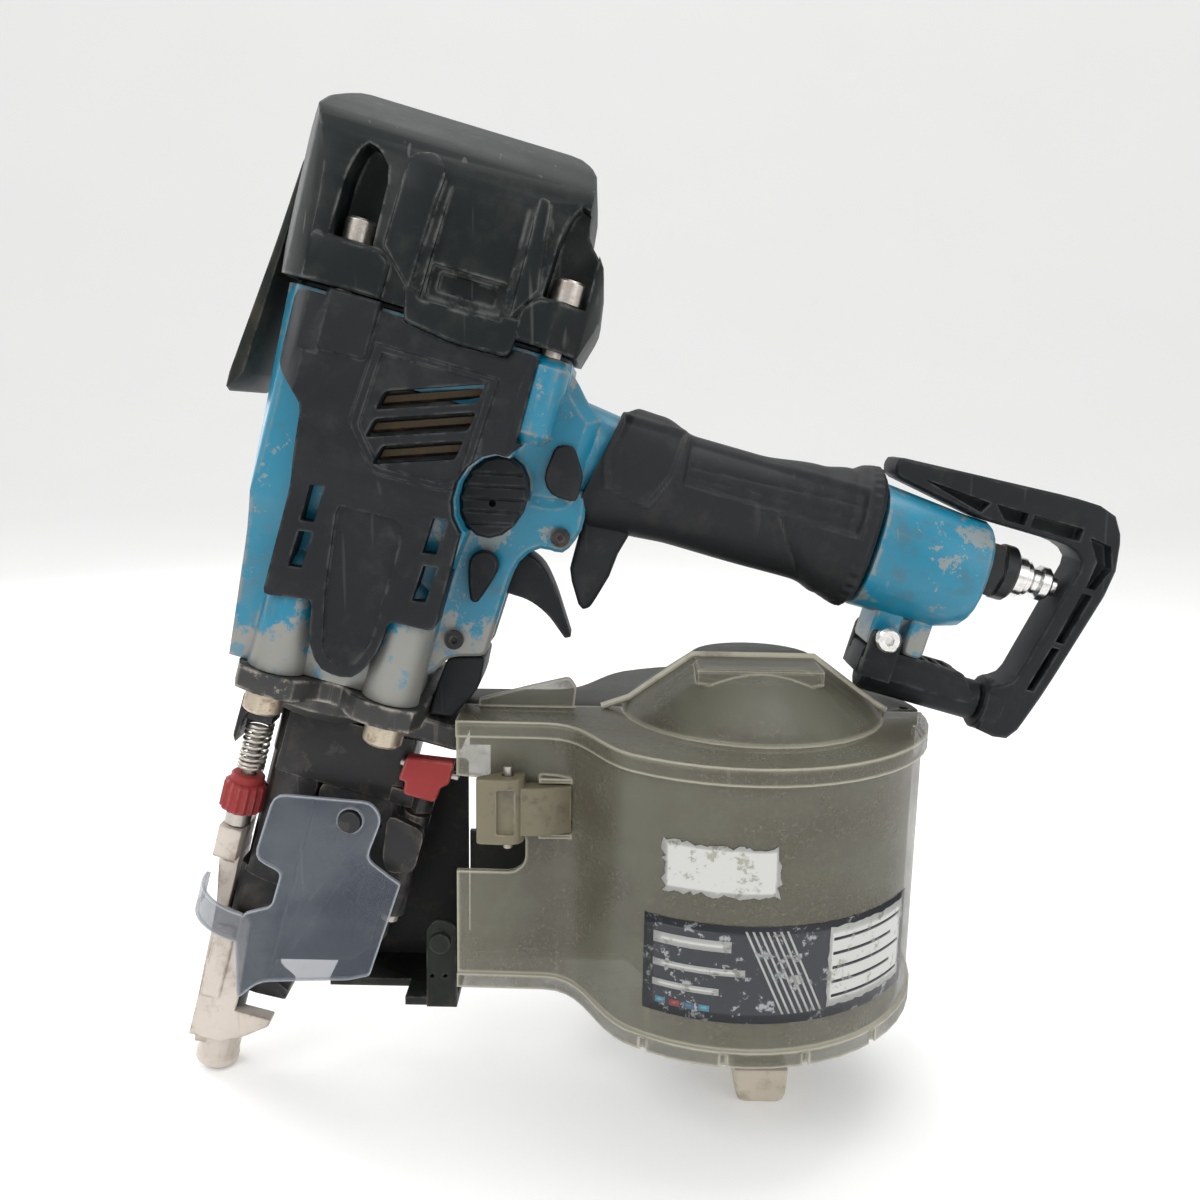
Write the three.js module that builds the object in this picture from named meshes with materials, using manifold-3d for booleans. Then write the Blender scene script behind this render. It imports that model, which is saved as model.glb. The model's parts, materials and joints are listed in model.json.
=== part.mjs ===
// High-pressure coil nailer: a cast housing with a cap, handle and nose on a leaning driver axis,
// and a round nail magazine that stands upright beside the nose. Millimetres, +Z up.
// The tool stands on its nose tip and magazine foot; +X points along the handle, -Y is the near side.
// Two frames carry the shapes: the driver frame starts at the nose tip with +Z up the driver axis,
// and the magazine frame starts under the drum's centre with +Z vertical.
import * as THREE from "three";
import { mergeVertices } from "three/addons/utils/BufferGeometryUtils.js";
import Module from "manifold-3d";

const wasm = await Module();
wasm.setup();

// ---- Driving dimensions -------------------------------------------------------------------------
const GAP = 0.3; // between pieces that touch
const DRIVER_TILT = THREE.MathUtils.degToRad(15); // driver axis against the magazine's axis
const NOSE_X = -184.4; // nose tip from the drum's centre
const NOSE_Z = 2.25; // nose tip above the ground, so that the tilted tip just clears it

const BORE = 16.4; // cylinder bore radius
const SLEEVE = 18; // cylinder sleeve, outside radius
const PISTON_REST = 274; // underside of the piston at rest
const BLADE_TIP = 131.5; // end of the driver blade at rest
const BLADE = 3.1; // driver blade radius

const FLANGE_TOP = 157;
const HOUSING_BOTTOM = FLANGE_TOP + GAP;
const HOUSING_TOP = 272.6;
const CAP_BOTTOM = 274.3;
const CAP_BOLTS = [[-10, 33], [52.5, 33]]; // [x, y]; each also at -y
const FLANGE_BOLTS = [[-6.5, 28], [32.5, 28]];

const HANDLE_Z = 245.5; // handle axis above the nose tip
const GRIP_START = 76;
const GRIP_END = 166;
const END_CAP_END = 204.5;
const PLUG_Z = 248;
const PLUG_END = 233.4;

const TRIGGER_PIVOT = [48.5, 205]; // [x, z]
const CONTACT_ROD = [-10.8, -7.5]; // [x, y], beside the driver's barrel
const TIP_RADIUS = 7.6;
const DOOR_HINGE = [48.5, -13]; // [x, y]

const HOOK_AXIS_Z = 203.4;
const HOOK_TUBE = 6.9;

const DRUM = 62; // magazine drum, outside radius
const WALL = 2.4;
const DRUM_BOTTOM = 43;
const DRUM_TOP = 131.5;
const LID_RIDGE = 137;
const CHANNEL_END = -93.5; // open end of the feed channel
const CHANNEL_HALF = 19; // half width of the feed channel
const DOME = { x: 5, base: 41, top: 20.5, z: 156 };
const HINGE = [59.3, 4.6]; // magazine cover hinge, [x, y]

// ---- Geometry helpers ---------------------------------------------------------------------------

/** A closed geometry as a solid whose faces point out. */
function solid(geometry) {
  const loose = geometry.index ? geometry.toNonIndexed() : geometry;
  const bare = new THREE.BufferGeometry();
  bare.setAttribute("position", loose.getAttribute("position"));
  const merged = mergeVertices(bare, 1e-4);
  const corner = [0, 1, 2].map(() => new THREE.Vector3());
  const position = merged.getAttribute("position");
  const triangles = [];
  let volume = 0;
  for (let i = 0; i < merged.index.count; i += 3) {
    const [a, b, c] = merged.index.array.subarray(i, i + 3);
    if (a === b || b === c || c === a) continue;
    [a, b, c].forEach((vertex, k) => corner[k].fromBufferAttribute(position, vertex));
    volume += corner[0].dot(corner[1].clone().cross(corner[2]));
    triangles.push([a, b, c]);
  }
  if (volume < 0) triangles.forEach((triangle) => triangle.reverse());
  const mesh = new wasm.Mesh({
    numProp: 3,
    vertProperties: position.array,
    triVerts: new Uint32Array(triangles.flat()),
  });
  return new wasm.Manifold(mesh);
}

const join = (first, ...others) => others.reduce((sum, other) => sum.add(other), first);
const cut = (first, ...others) => others.reduce((rest, other) => rest.subtract(other), first);
const common = (first, ...others) => others.reduce((rest, other) => rest.intersect(other), first);

/** The point at a distance from one corner along the line to another. */
function along(from, to, distance) {
  const step = new THREE.Vector2(to[0] - from[0], to[1] - from[1]);
  return step.setLength(distance).add(new THREE.Vector2(from[0], from[1]));
}

/** A closed outline through corners [a, b, radius], each rounded by as much of its radius as fits. */
function outline(corners) {
  const shape = new THREE.Shape();
  const reach = (from, to) => 0.47 * Math.hypot(to[0] - from[0], to[1] - from[1]);
  corners.forEach((corner, i) => {
    const [before, after] = [corners.at(i - 1), corners[(i + 1) % corners.length]];
    const radius = Math.min(corner[2] ?? 0, reach(corner, before), reach(corner, after));
    const enter = along(corner, before, radius);
    const leave = along(corner, after, radius);
    if (i === 0) shape.moveTo(enter.x, enter.y);
    else shape.lineTo(enter.x, enter.y);
    if (radius > 0) shape.quadraticCurveTo(corner[0], corner[1], leave.x, leave.y);
  });
  shape.closePath();
  return shape;
}

const rectangle = (a0, b0, a1, b1, radius = 0) =>
  outline([[a0, b0, radius], [a1, b0, radius], [a1, b1, radius], [a0, b1, radius]]);

/** An outline pushed straight up by a height, its end edges chamfered. */
function prism(shape, height, chamfer, curveSegments) {
  const geometry = new THREE.ExtrudeGeometry(shape, {
    depth: height - 2 * chamfer,
    bevelEnabled: chamfer > 0,
    bevelThickness: chamfer,
    bevelSize: chamfer,
    bevelOffset: -chamfer,
    bevelSegments: 1,
    curveSegments,
  });
  return geometry.translate(0, 0, chamfer);
}

/** A side-view outline (x, z) between two values of y. */
function sidePlate(shape, y0, y1, chamfer = 0, curveSegments = 2) {
  const [low, high] = [Math.min(y0, y1), Math.max(y0, y1)];
  const geometry = prism(shape, high - low, chamfer, curveSegments);
  return solid(geometry.rotateX(Math.PI / 2).translate(0, high, 0));
}

/** A plan outline (x, y) between two heights. */
function slab(shape, z0, z1, chamfer = 0, curveSegments = 2) {
  return solid(prism(shape, z1 - z0, chamfer, curveSegments).translate(0, 0, z0));
}

/** A front-view outline (y, z) between two values of x. */
function frontPlate(shape, x0, x1, chamfer = 0, curveSegments = 2) {
  const turn = new THREE.Matrix4().makeBasis(
    new THREE.Vector3(0, 1, 0),
    new THREE.Vector3(0, 0, 1),
    new THREE.Vector3(1, 0, 0),
  );
  const geometry = prism(shape, x1 - x0, chamfer, curveSegments);
  return solid(geometry.applyMatrix4(turn).translate(x0, 0, 0));
}

const block = (x0, x1, y0, y1, z0, z1, chamfer = 0) =>
  slab(rectangle(x0, y0, x1, y1), z0, z1, chamfer);

const AXIS_TURNS = {
  x: new THREE.Matrix4().makeRotationY(Math.PI / 2),
  y: new THREE.Matrix4().makeRotationX(-Math.PI / 2),
  z: new THREE.Matrix4(),
};

/** A turned piece: profile points [radius, height] round an axis that starts at a place. */
function turned(profile, place, axis = "z", segments = 24) {
  const ring = profile[0][0] > 0;
  const points = (ring ? [...profile, profile[0]] : profile).map(([r, h]) => new THREE.Vector2(r, h));
  const geometry = new THREE.LatheGeometry(points, segments).rotateX(Math.PI / 2);
  return solid(geometry.applyMatrix4(AXIS_TURNS[axis]).translate(...place));
}

/** A straight rod with a radius and length, its ends chamfered. */
function rod(radius, length, place, axis = "z", segments = 14, chamfer = 0) {
  const profile = [[0, 0], [radius - chamfer, 0], [radius, chamfer]];
  if (!chamfer) profile.splice(2, 1);
  const end = profile.map(([r, h]) => [r, length - h]).reverse();
  return turned([...profile, ...end], place, axis, segments);
}

/** A skin over rounded rings { x, z, high, wide, square, y }, closed at both ends. */
function loft(rings, sides = 16) {
  const points = [];
  for (const { x, y = 0, z, high, wide, square = 2.5, lean = 0 } of rings)
    for (let i = 0; i < sides; i++) {
      const angle = (i / sides) * 2 * Math.PI;
      const [c, s] = [Math.cos(angle), Math.sin(angle)];
      const across = Math.sign(c) * Math.abs(c) ** (2 / square) * wide;
      const up = Math.sign(s) * Math.abs(s) ** (2 / square) * high;
      points.push(x + up * lean, y + across, z + up);
    }
  const index = [];
  const face = (a, b, c) => index.push(a, b, c);
  for (let r = 0; r < rings.length - 1; r++)
    for (let i = 0; i < sides; i++) {
      const [a, b] = [r * sides + i, r * sides + ((i + 1) % sides)];
      face(a, b, b + sides);
      face(a, b + sides, a + sides);
    }
  const last = (rings.length - 1) * sides;
  for (let i = 1; i < sides - 1; i++) {
    face(0, i + 1, i);
    face(last, last + i, last + i + 1);
  }
  const geometry = new THREE.BufferGeometry();
  geometry.setAttribute("position", new THREE.Float32BufferAttribute(points, 3));
  geometry.setIndex(index);
  return solid(geometry);
}

class Helix extends THREE.Curve {
  constructor(radius, height, turns) {
    super();
    Object.assign(this, { radius, height, turns });
  }
  getPoint(t, target = new THREE.Vector3()) {
    const angle = t * this.turns * 2 * Math.PI;
    return target.set(this.radius * Math.cos(angle), this.radius * Math.sin(angle), t * this.height);
  }
}

/** A coil spring standing at a place. */
function spring(radius, height, turns, wire, place) {
  const section = new THREE.Shape().absarc(0, 0, wire, 0, 2 * Math.PI);
  const geometry = new THREE.ExtrudeGeometry(section, {
    extrudePath: new Helix(radius, height, turns),
    steps: Math.round(turns * 8),
    curveSegments: 2,
  });
  return solid(geometry.translate(...place));
}

/** The same solid made on the near side (-1) and the far side (+1), joined. */
const bothSides = (make) => join(make(-1), make(1));

// ---- Finishes -----------------------------------------------------------------------------------
const FINISHES = {
  blue_paint: [0x1aa3c9, 0.35, 0.25],
  cast_grey: [0x4b4c4d, 0.55, 0.5],
  black_plastic: [0x26292b, 0.6, 0],
  rubber: [0x1c1e20, 0.85, 0],
  steel: [0x9a968e, 0.4, 0.9],
  dark_steel: [0x35383a, 0.5, 0.7],
  chrome: [0xc9c9c6, 0.18, 1],
  white_steel: [0xd9d3c8, 0.5, 0.3],
  red_plastic: [0xa8433f, 0.55, 0],
  clear_plastic: [0xaeb9c8, 0.25, 0],
  smoked_plastic: [0x77766a, 0.35, 0],
  grey_plastic: [0x3f4142, 0.6, 0],
  cream_plastic: [0xb9ad92, 0.5, 0],
};

const driverFrame = new THREE.Group();
driverFrame.rotation.y = DRIVER_TILT;
driverFrame.position.set(NOSE_X, 0, NOSE_Z);
const magazineFrame = new THREE.Group();

/** Adds one named piece to a frame. */
function add(frame, name, piece, finish) {
  const { vertProperties, triVerts } = piece.getMesh();
  const geometry = new THREE.BufferGeometry();
  geometry.setAttribute("position", new THREE.BufferAttribute(vertProperties, 3));
  geometry.setIndex(new THREE.BufferAttribute(triVerts, 1));
  geometry.computeVertexNormals();
  const [color, roughness, metalness] = FINISHES[finish];
  const material = new THREE.MeshStandardMaterial({ color, roughness, metalness });
  const mesh = new THREE.Mesh(geometry, material);
  mesh.name = name;
  frame.add(mesh);
}

// ---- Housing ------------------------------------------------------------------------------------

/** The housing's barrel with the step for the side covers, grown by a clearance. */
function barrel(grow = 0) {
  const side = outline([
    [-20.5 - grow, HOUSING_BOTTOM],
    [-25 - grow, 215, 8],
    [-28 - grow, 262, 4],
    [-28.5 - grow, HOUSING_TOP],
    [59 + grow, HOUSING_TOP],
    [60 + grow, 264, 4],
    [45 + grow, 234, 12],
    [40 + grow, 205, 8],
    [39.5 + grow, HOUSING_BOTTOM],
  ]);
  const front = outline([
    [-28 - grow, HOUSING_BOTTOM - 1],
    [28 + grow, HOUSING_BOTTOM - 1],
    [28 + grow, 198, 6],
    [33 + grow, 216, 6],
    [33.5 + grow, 250, 4],
    [37 + grow, 262, 3],
    [37 + grow, HOUSING_TOP + 1],
    [-37 - grow, HOUSING_TOP + 1],
    [-37 - grow, 262, 3],
    [-33.5 - grow, 250, 4],
    [-33 - grow, 216, 6],
    [-28 - grow, 198, 6],
  ]);
  const plan = outline([
    [-30 - grow, -26, 13], [-18, -38 - grow, 13], [48, -38 - grow, 12], [61 + grow, -26, 12],
    [61 + grow, 26, 12], [48, 38 + grow, 12], [-18, 38 + grow, 13], [-30 - grow, 26, 13],
  ]);
  return common(
    sidePlate(side, -42, 42),
    frontPlate(front, -60, 80),
    slab(plan, HOUSING_BOTTOM - 2, HOUSING_TOP + 2),
  );
}

/** The columns that take the flange bolts at the housing's lower corners. */
function boltColumns(grow = 0) {
  const column = (side) => ([x, y]) =>
    turned(
      [[0, 0], [9.2 + grow, 0], [8.4 + grow, 26 + grow], [5, 36 + grow], [0, 40 + grow]],
      [x + (x < 0 ? 1 : -1), side * (y - 1.5), HOUSING_BOTTOM],
      "z",
      16,
    );
  return bothSides((side) => join(...FLANGE_BOLTS.map(column(side))));
}

const handleRings = (grow) => [
  { x: 24, z: 249, high: 22 + grow, wide: 25 + grow },
  { x: 44, z: 248.5, high: 19.5 + grow, wide: 22 + grow },
  { x: 56, z: 247, high: 18.5 + grow, wide: 19 + grow },
  { x: 66, z: 246, high: 17.5 + grow, wide: 16 + grow },
  { x: GRIP_START + 2, z: HANDLE_Z, high: 16.5 + grow, wide: 14 + grow },
  { x: GRIP_END + 1, z: HANDLE_Z, high: 15.5 + grow, wide: 13.5 + grow },
];

/** The side-view outline of the plates that carry the trigger. */
const triggerBracket = () =>
  outline([
    [34, 163], [41, 164, 3], [45, 172, 3], [56.6, 175.5, 2], [57.6, 200, 3],
    [58.5, 209, 6], [64, 215.5, 4], [72, 214.5, 3], [76, 224, 4], [74, 236], [34, 236],
  ]);

function mainHousing() {
  const neck = sidePlate(
    outline(
      [
        [30, 224], [66, 228, 6], [70, 231], [72, 259], [67, 262.5, 6], [60, 270, 6], [56, HOUSING_TOP],
        [30, HOUSING_TOP],
      ],
    ),
    -19, 19, 4,
  );
  const lugs = bothSides((side) =>
    join(...CAP_BOLTS.map(([x, y]) => rod(7, 26, [x, side * (y - 1), HOUSING_TOP - 26], "z", 12, 3))),
  );
  const shell = join(
    barrel(), boltColumns(), loft(handleRings(0)), neck, lugs,
    sidePlate(triggerBracket(), -15, 15, 1.2),
  );
  const boltHoles = bothSides((side) =>
    join(
      ...CAP_BOLTS.map(([x, y]) => rod(3.2, 30, [x, side * y, HOUSING_TOP - 24], "z", 8)),
      ...FLANGE_BOLTS.map(([x, y]) => rod(3.3, 20, [x, side * y, HOUSING_BOTTOM - 1], "z", 8)),
    ),
  );
  const chamber = rod(27, 84, [4.5, 0, 190], "z", 20);
  const valveBore = rod(4.2, 30, [63, 0, 210], "z", 16);
  const triggerSlot = sidePlate(
    outline([[42, 160], [90, 160], [90, 217], [70, 221.5, 4], [44, 221.5, 4], [42, 214]]),
    -8.2, 8.2,
  );
  const pivotHole = rod(2.4, 40, [TRIGGER_PIVOT[0], -20, TRIGGER_PIVOT[1]], "y", 16);
  const dusterPocket = sidePlate(dusterOutline(0.4), -45, -16.2);
  return cut(
    shell, rod(SLEEVE + GAP, 130, [0, 0, 150], "z", 24), chamber, boltHoles, valveBore,
    rod(11, 160, [20, 0, HANDLE_Z], "x", 16), triggerSlot, pivotHole, dusterPocket,
  );
}

/** The duster button's rounded outline in side view. */
function dusterOutline(grow) {
  const centre = [46.6, 227.5];
  const shape = new THREE.Shape();
  const steps = 16;
  for (let i = 0; i <= steps; i++) {
    const angle = (i / steps) * 2 * Math.PI;
    const lean = 1.8 * Math.sin(angle);
    const x = centre[0] + (10 + grow) * Math.cos(angle) - lean;
    const z = centre[1] + (12.8 + grow) * Math.sin(angle) + 3 * Math.cos(angle);
    if (i === 0) shape.moveTo(x, z);
    else shape.lineTo(x, z);
  }
  return shape;
}

// ---- Side covers --------------------------------------------------------------------------------

/** One guard cover over the side of the housing. */
function sideCover(side) {
  const face = outline([
    [-24, 271.5, 3], [-24.5, 249, 3], [-13, 240, 3], [-11.5, 219, 3], [-12.5, 181, 2],
    [2.5, 183.5, 2], [4.5, 170, 4], [9.5, 161.8, 4], [20, 161.8, 4], [25.5, 172, 4],
    [26.5, 183.5, 2], [40.5, 184, 2], [40.5, 216, 4], [42, 232, 4], [55.5, 252, 4], [55.5, 271.5, 3],
  ]);
  const profile = outline([
    [side * 20, 158], [side * 33.5, 158, 3], [side * 36.3, 168, 3], [side * 37, 214, 3], [side * 40.6, 224, 3],
    [side * 41.2, 262, 3], [side * 40, 273], [side * 20, 273],
  ]);
  const plan = outline([
    [-27, side * 10], [-27, side * 30, 6], [-16, side * 42.5, 6], [47, side * 42.5, 6], [58, side * 30, 6], [58, side * 10],
  ]);
  const skin = common(
    sidePlate(face, side * 24, side * 43), frontPlate(profile, -60, 80), slab(plan, 150, 280),
  );
  const slots = VENTS.map(([x0, z0, x1, z1]) =>
    sidePlate(
      outline([[x0, z0 - 3, 1], [x1, z1 - 3, 1], [x1 + 1, z1 + 3, 1], [x0 + 1.5, z0 + 3, 1]]), side * 34.6,
      side * 45,
    ),
  );
  const windows = COVER_WINDOWS.map(([x, z]) =>
    sidePlate(
      outline([[x - 2.4, z - 6], [x + 1.8, z - 5.4], [x + 2.6, z + 6], [x - 1.6, z + 5.4]]), side * 20,
      side * 45,
    ),
  );
  const nameField = sidePlate(
    outline(
      [[3, 214, 3], [5.5, 188, 3], [9, 169, 4], [13, 165.5, 3], [18.5, 166, 4], [23, 175, 4], [24, 214, 3]],
    ),
    side * 35.5, side * 45,
  );
  return cut(
    join(skin, coverRelief(side)), barrel(GAP), boltColumns(GAP), ...slots, ...windows, nameField,
    sidePlate(skirtOutline(GAP), side * 30, side * 45),
    ...CAP_BOLTS.map(([x, y]) => rod(7.4, 30, [x, side * (y - 1), HOUSING_TOP - 26.4])),
    sidePlate(dusterOutline(1), side * 15, side * 45),
    block(51, 60, side < 0 ? -45 : 20, side < 0 ? -20 : 45, 240, 268),
    block(-24, -12, side < 0 ? -45 : 39.2, side < 0 ? -39.2 : 45, 255, 275),
  );
}

/** Raised parts of a side cover: a tab under the cap's lug and a rim round the vents. */
function coverRelief(side) {
  const tab = sidePlate(
    outline([[-13.5, 256.6, 1.5], [2.2, 256.6, 1.5], [2.6, 273.8], [-13.5, 273.8]]), side * 36, side * 42.4,
    0.5,
  );
  const rim = cut(
    sidePlate(
      outline([[3.6, 262.4], [40.6, 262.4], [38.8, 229.6, 2], [33, 226.6, 2], [12, 226, 2], [1.6, 238, 2]]),
      side * 38, side * 42, 0.4,
    ),
    sidePlate(
      outline([[6.2, 260.2], [38, 260.6], [36.6, 231.2, 1], [32, 228.8, 1], [13, 228.4, 1], [4.6, 238.6, 1]]),
      side * 38, side * 43,
    ),
  );
  return join(tab, rim);
}

const VENTS = [[8, 247, 36, 257], [7, 238.5, 35.5, 248.5], [11, 231.5, 34, 239.5]]; // [x, z, x, z]
const COVER_WINDOWS = [[-4.2, 212], [-4.6, 197.5], [33.4, 212.5], [34, 197.5]];

// ---- Cap ----------------------------------------------------------------------------------------

function capBody() {
  const side = outline([
    [-29.5, CAP_BOTTOM], [-31, 283, 2], [-31.4, 316, 4], [-29.5, 327, 4], [-25, 333.4, 3], [45, 333.4, 4],
    [52, 326.5, 4], [53.5, 309, 3], [61, 301.5, 3], [63.5, 286, 3], [60, CAP_BOTTOM],
  ]);
  const front = outline([
    [-40, CAP_BOTTOM - 1], [40, CAP_BOTTOM - 1], [40.6, 290, 3], [39.2, 309, 5], [34, 320.5, 4], [26.5, 326.5, 3], [10, 333.5],
    [-10, 333.5], [-26.5, 326.5, 3], [-34, 320.5, 4], [-39.2, 309, 5], [-40.6, 290, 3],
  ]);
  const plan = outline([
    [-34, -27, 9], [-22, -42, 9], [52, -42, 9], [66, -27, 9], [66, 27, 9], [52, 42, 9], [-22, 42, 9], [-34, 27, 9],
  ]);
  return common(sidePlate(side, -44, 44), frontPlate(front, -60, 80), slab(plan, CAP_BOTTOM - 1, 342));
}

/** Raised parts of the cap's face: a lug box under each bolt, a ridge beside each slot and the middle skirt. */
function capRelief(side) {
  const leftLug = outline(
    [[-21, CAP_BOTTOM], [2, CAP_BOTTOM], [2.6, 285, 1.5], [-1, 287.6, 1.5], [-21, 287.6, 1.5]],
  );
  const rightLug = outline(
    [[41.5, CAP_BOTTOM], [60, CAP_BOTTOM], [61, 287.6, 1.5], [45.5, 287.6, 1.5], [41, 283, 1.5]],
  );
  const leftRidge = outline([[-0.6, 289], [9.4, 279, 2], [11.4, 313, 2], [7, 318, 2], [0.6, 316, 2]]);
  const rightRidge = outline([[38.6, 279, 2], [45.2, 289], [41.6, 314, 3], [38.4, 314, 1]]);
  const plates = [
    sidePlate(leftLug, side * 30, side * 42.6, 0.8), sidePlate(rightLug, side * 30, side * 42.2, 0.8),
    sidePlate(leftRidge, side * 30, side * 41.9, 0.5), sidePlate(rightRidge, side * 30, side * 41.9, 0.5),
    sidePlate(skirtOutline(0), side * 38.4, side * 42.4, 0.6),
  ];
  return common(join(...plates), capReach());
}

const skirtOutline = (grow) =>
  outline(
    [
      [8 - grow, 280], [10 - grow, 270.6 - grow, 1.5], [26, 268.4 - grow, 3], [41.5 + grow, 269 - grow, 1.5],
      [42.5 + grow, 280],
    ],
  );

/** The cap's outer limit, which rounds off its raised parts. */
function capReach() {
  const front = outline([
    [-43, 260], [43, 260], [43, 292, 3], [41.5, 310, 5], [35.4, 321.5, 4], [26.5, 327.5, 3],
    [-26.5, 327.5, 3], [-35.4, 321.5, 4], [-41.5, 310, 5], [-43, 292, 3],
  ]);
  const plan = outline([
    [-33, -27, 9], [-22, -43.4, 9], [52, -43.4, 9], [65, -27, 9], [65, 27, 9], [52, 43.4, 9], [-22, 43.4, 9], [-33, 27, 9],
  ]);
  return common(frontPlate(front, -60, 80), slab(plan, 260, 342));
}


/** The wrench slot above one cap bolt, open to the side. */
function wrenchSlot([x, y], side) {
  const opening = outline(
    [[x - 6.4, 288], [x + 6.4, 288], [x + 6, 311, 5.5], [x - 3, 317, 4], [x - 5.6, 306, 3]],
  );
  return sidePlate(opening, side * (y - 6.2), side * 46);
}

function topCap() {
  const slots = [-1, 1].flatMap((side) => CAP_BOLTS.map((bolt) => wrenchSlot(bolt, side)));
  const holes = [-1, 1].flatMap(
    (side) => CAP_BOLTS.map(([x, y]) => rod(3.2, 20, [x, side * y, 270], "z", 8)),
  );
  const panels = [-1, 1].flatMap((side) => [
    sidePlate(
      outline([[12.4, 277.5, 1], [36.6, 277.5, 1], [36, 319, 2], [14, 319, 2]]), side * 38.2, side * 46,
    ),
    sidePlate(rectangle(13.4, 279.2, 35.6, 288.6, 0.8), side * 36.2, side * 46),
    sidePlate(rectangle(16, 281.6, 33, 287, 0.6), side * 34.4, side * 46),
  ]);
  const cavity = turned([[0, -4], [27.5, -4], [27.5, 40], [20, 46], [0, 46]], [4.5, 0, CAP_BOTTOM], "z", 20);
  const vents = [-1, 1].flatMap((side) =>
    [0, 1, 2, 3].map((i) => block(-40, -26, side * 12 - 8, side * 12 + 8, 296 + 7 * i, 299.5 + 7 * i)),
  );
  return cut(join(capBody(), capRelief(-1), capRelief(1)), cavity, ...slots, ...holes, ...panels, ...vents);
}

function capGasket() {
  const plan = outline([
    [-27, -24, 8], [-17, -36, 8], [48, -36, 8], [58, -24, 8], [58, 24, 8], [48, 36, 8], [-17, 36, 8], [-27, 24, 8],
  ]);
  const holes = [-1, 1].flatMap(
    (side) => CAP_BOLTS.map(([x, y]) => rod(3.6, 10, [x, side * y, 270], "z", 8)),
  );
  return cut(
    slab(plan, HOUSING_TOP + GAP, CAP_BOTTOM - GAP), rod(27.5, 10, [4.5, 0, 270], "z", 20), ...holes,
  );
}

/** A socket bolt standing with its shank down; z is the underside of its head. */
function socketBolt(radius, head, shank, length, [x, y, z], socket = radius * 0.5) {
  const bolt = turned(
    [
      [0, -length], [shank, -length], [shank, 0], [radius, 0], [radius, head - 0.7], [radius - 0.7, head],
      [0, head],
    ],
    [x, y, z], "z", 12,
  );
  return cut(bolt, rod(socket, head, [x, y, z + head * 0.45], "z", 6));
}

/** The thin plate that turns the exhaust away from the face of the cap. */
function exhaustDeflector() {
  const side = outline(
    [[-31.9, 310], [-33.5, 310, 0.5], [-34.4, 284, 6], [-41.5, 236], [-36.5, 243], [-32.4, 283, 4]],
  );
  const front = outline(
    [[-22, 310, 3], [22, 310, 3], [27, 284, 6], [24, 236, 6], [-24, 236, 6], [-27, 284, 6]],
  );
  const screw = (y) => rod(1.6, 6, [-38, y, 306], "x", 12);
  return cut(common(sidePlate(side, -30, 30), frontPlate(front, -60, -20)), screw(-15), screw(15));
}

// ---- Drive inside the housing -------------------------------------------------------------------

function cylinderSleeve() {
  return turned(
    [
      [BORE, 0], [SLEEVE, 0], [SLEEVE, 96], [21.6, 98], [21.6, 102], [SLEEVE, 104], [SLEEVE, 130],
      [BORE, 130],
    ],
    [0, 0, 158.4], "z", 20,
  );
}

const headValve = () =>
  turned([[10, 0], [SLEEVE, 0], [SLEEVE + 1, 3], [SLEEVE + 1, 12], [13, 12], [10, 9]], [0, 0, 289], "z", 20);

const piston = () =>
  turned(
    [[0, 0], [11, 0], [BORE - 0.4, 3], [BORE - 0.4, 5], [BORE - 1.4, 5.6], [BORE - 1.4, 7.4], [BORE - 0.4, 8],
      [BORE - 0.4, 11], [12, 11], [10, 7], [0, 7]],
    [0, 0, PISTON_REST], "z", 20,
  );

const driverBlade = () =>
  turned(
    [[0, 0], [BLADE - 0.4, 0], [BLADE, 1], [BLADE, 138], [BLADE + 1, 140], [BLADE + 1, 142.2], [0, 142.2]],
    [0, 0, BLADE_TIP], "z", 10,
  );

const pistonBumper = () =>
  turned([[4.6, 0], [15.8, 0], [16.4, 2], [15, 7], [9, 8.4], [4.6, 7]], [0, 0, 146.2], "z", 20);

// ---- Flange and nose ----------------------------------------------------------------------------

function noseFlange() {
  const plate = slab(
    outline([[-17, -37, 9], [4, -37, 7], [9, -27, 6], [17, -27, 6], [22, -37, 7], [43, -37, 9],
      [43, 37, 9], [22, 37, 7], [17, 27, 6], [9, 27, 6], [4, 37, 7], [-17, 37, 9]]),
    150, FLANGE_TOP, 0, 2,
  );
  const hub = turned([[0, 0], [19, 0], [24.5, 4], [25.5, 12], [0, 12]], [7, 0, 141], "z", 20);
  const mount = slab(rectangle(30, -14, 57, 14, 3), 141.2, 149.5, 0.8);
  const skirt = slab(rectangle(30, -16, 42, 16, 2), 146, 152);
  const holes = [-1, 1].flatMap((side) =>
    FLANGE_BOLTS.map(([x, y]) => rod(3.3, 30, [x, side * y, 140], "z", 8)),
  );
  return cut(
    join(plate, hub, mount, skirt), rod(16.9, 20, [0, 0, 145.8], "z", 20), rod(4.6, 20, [0, 0, 138], "z", 12), ...holes,
  );
}

/** A flange bolt hangs with its head below the flange. */
function flangeBolt([x, y, z]) {
  const bolt = turned(
    [[0, -7.2], [5.6, -7.2], [6.4, -6.3], [6.4, 0], [3, 0], [3, 24], [0, 24]], [x, y, z], "z", 12,
  );
  return cut(bolt, rod(3, 4, [x, y, z - 8], "z", 6));
}

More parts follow.
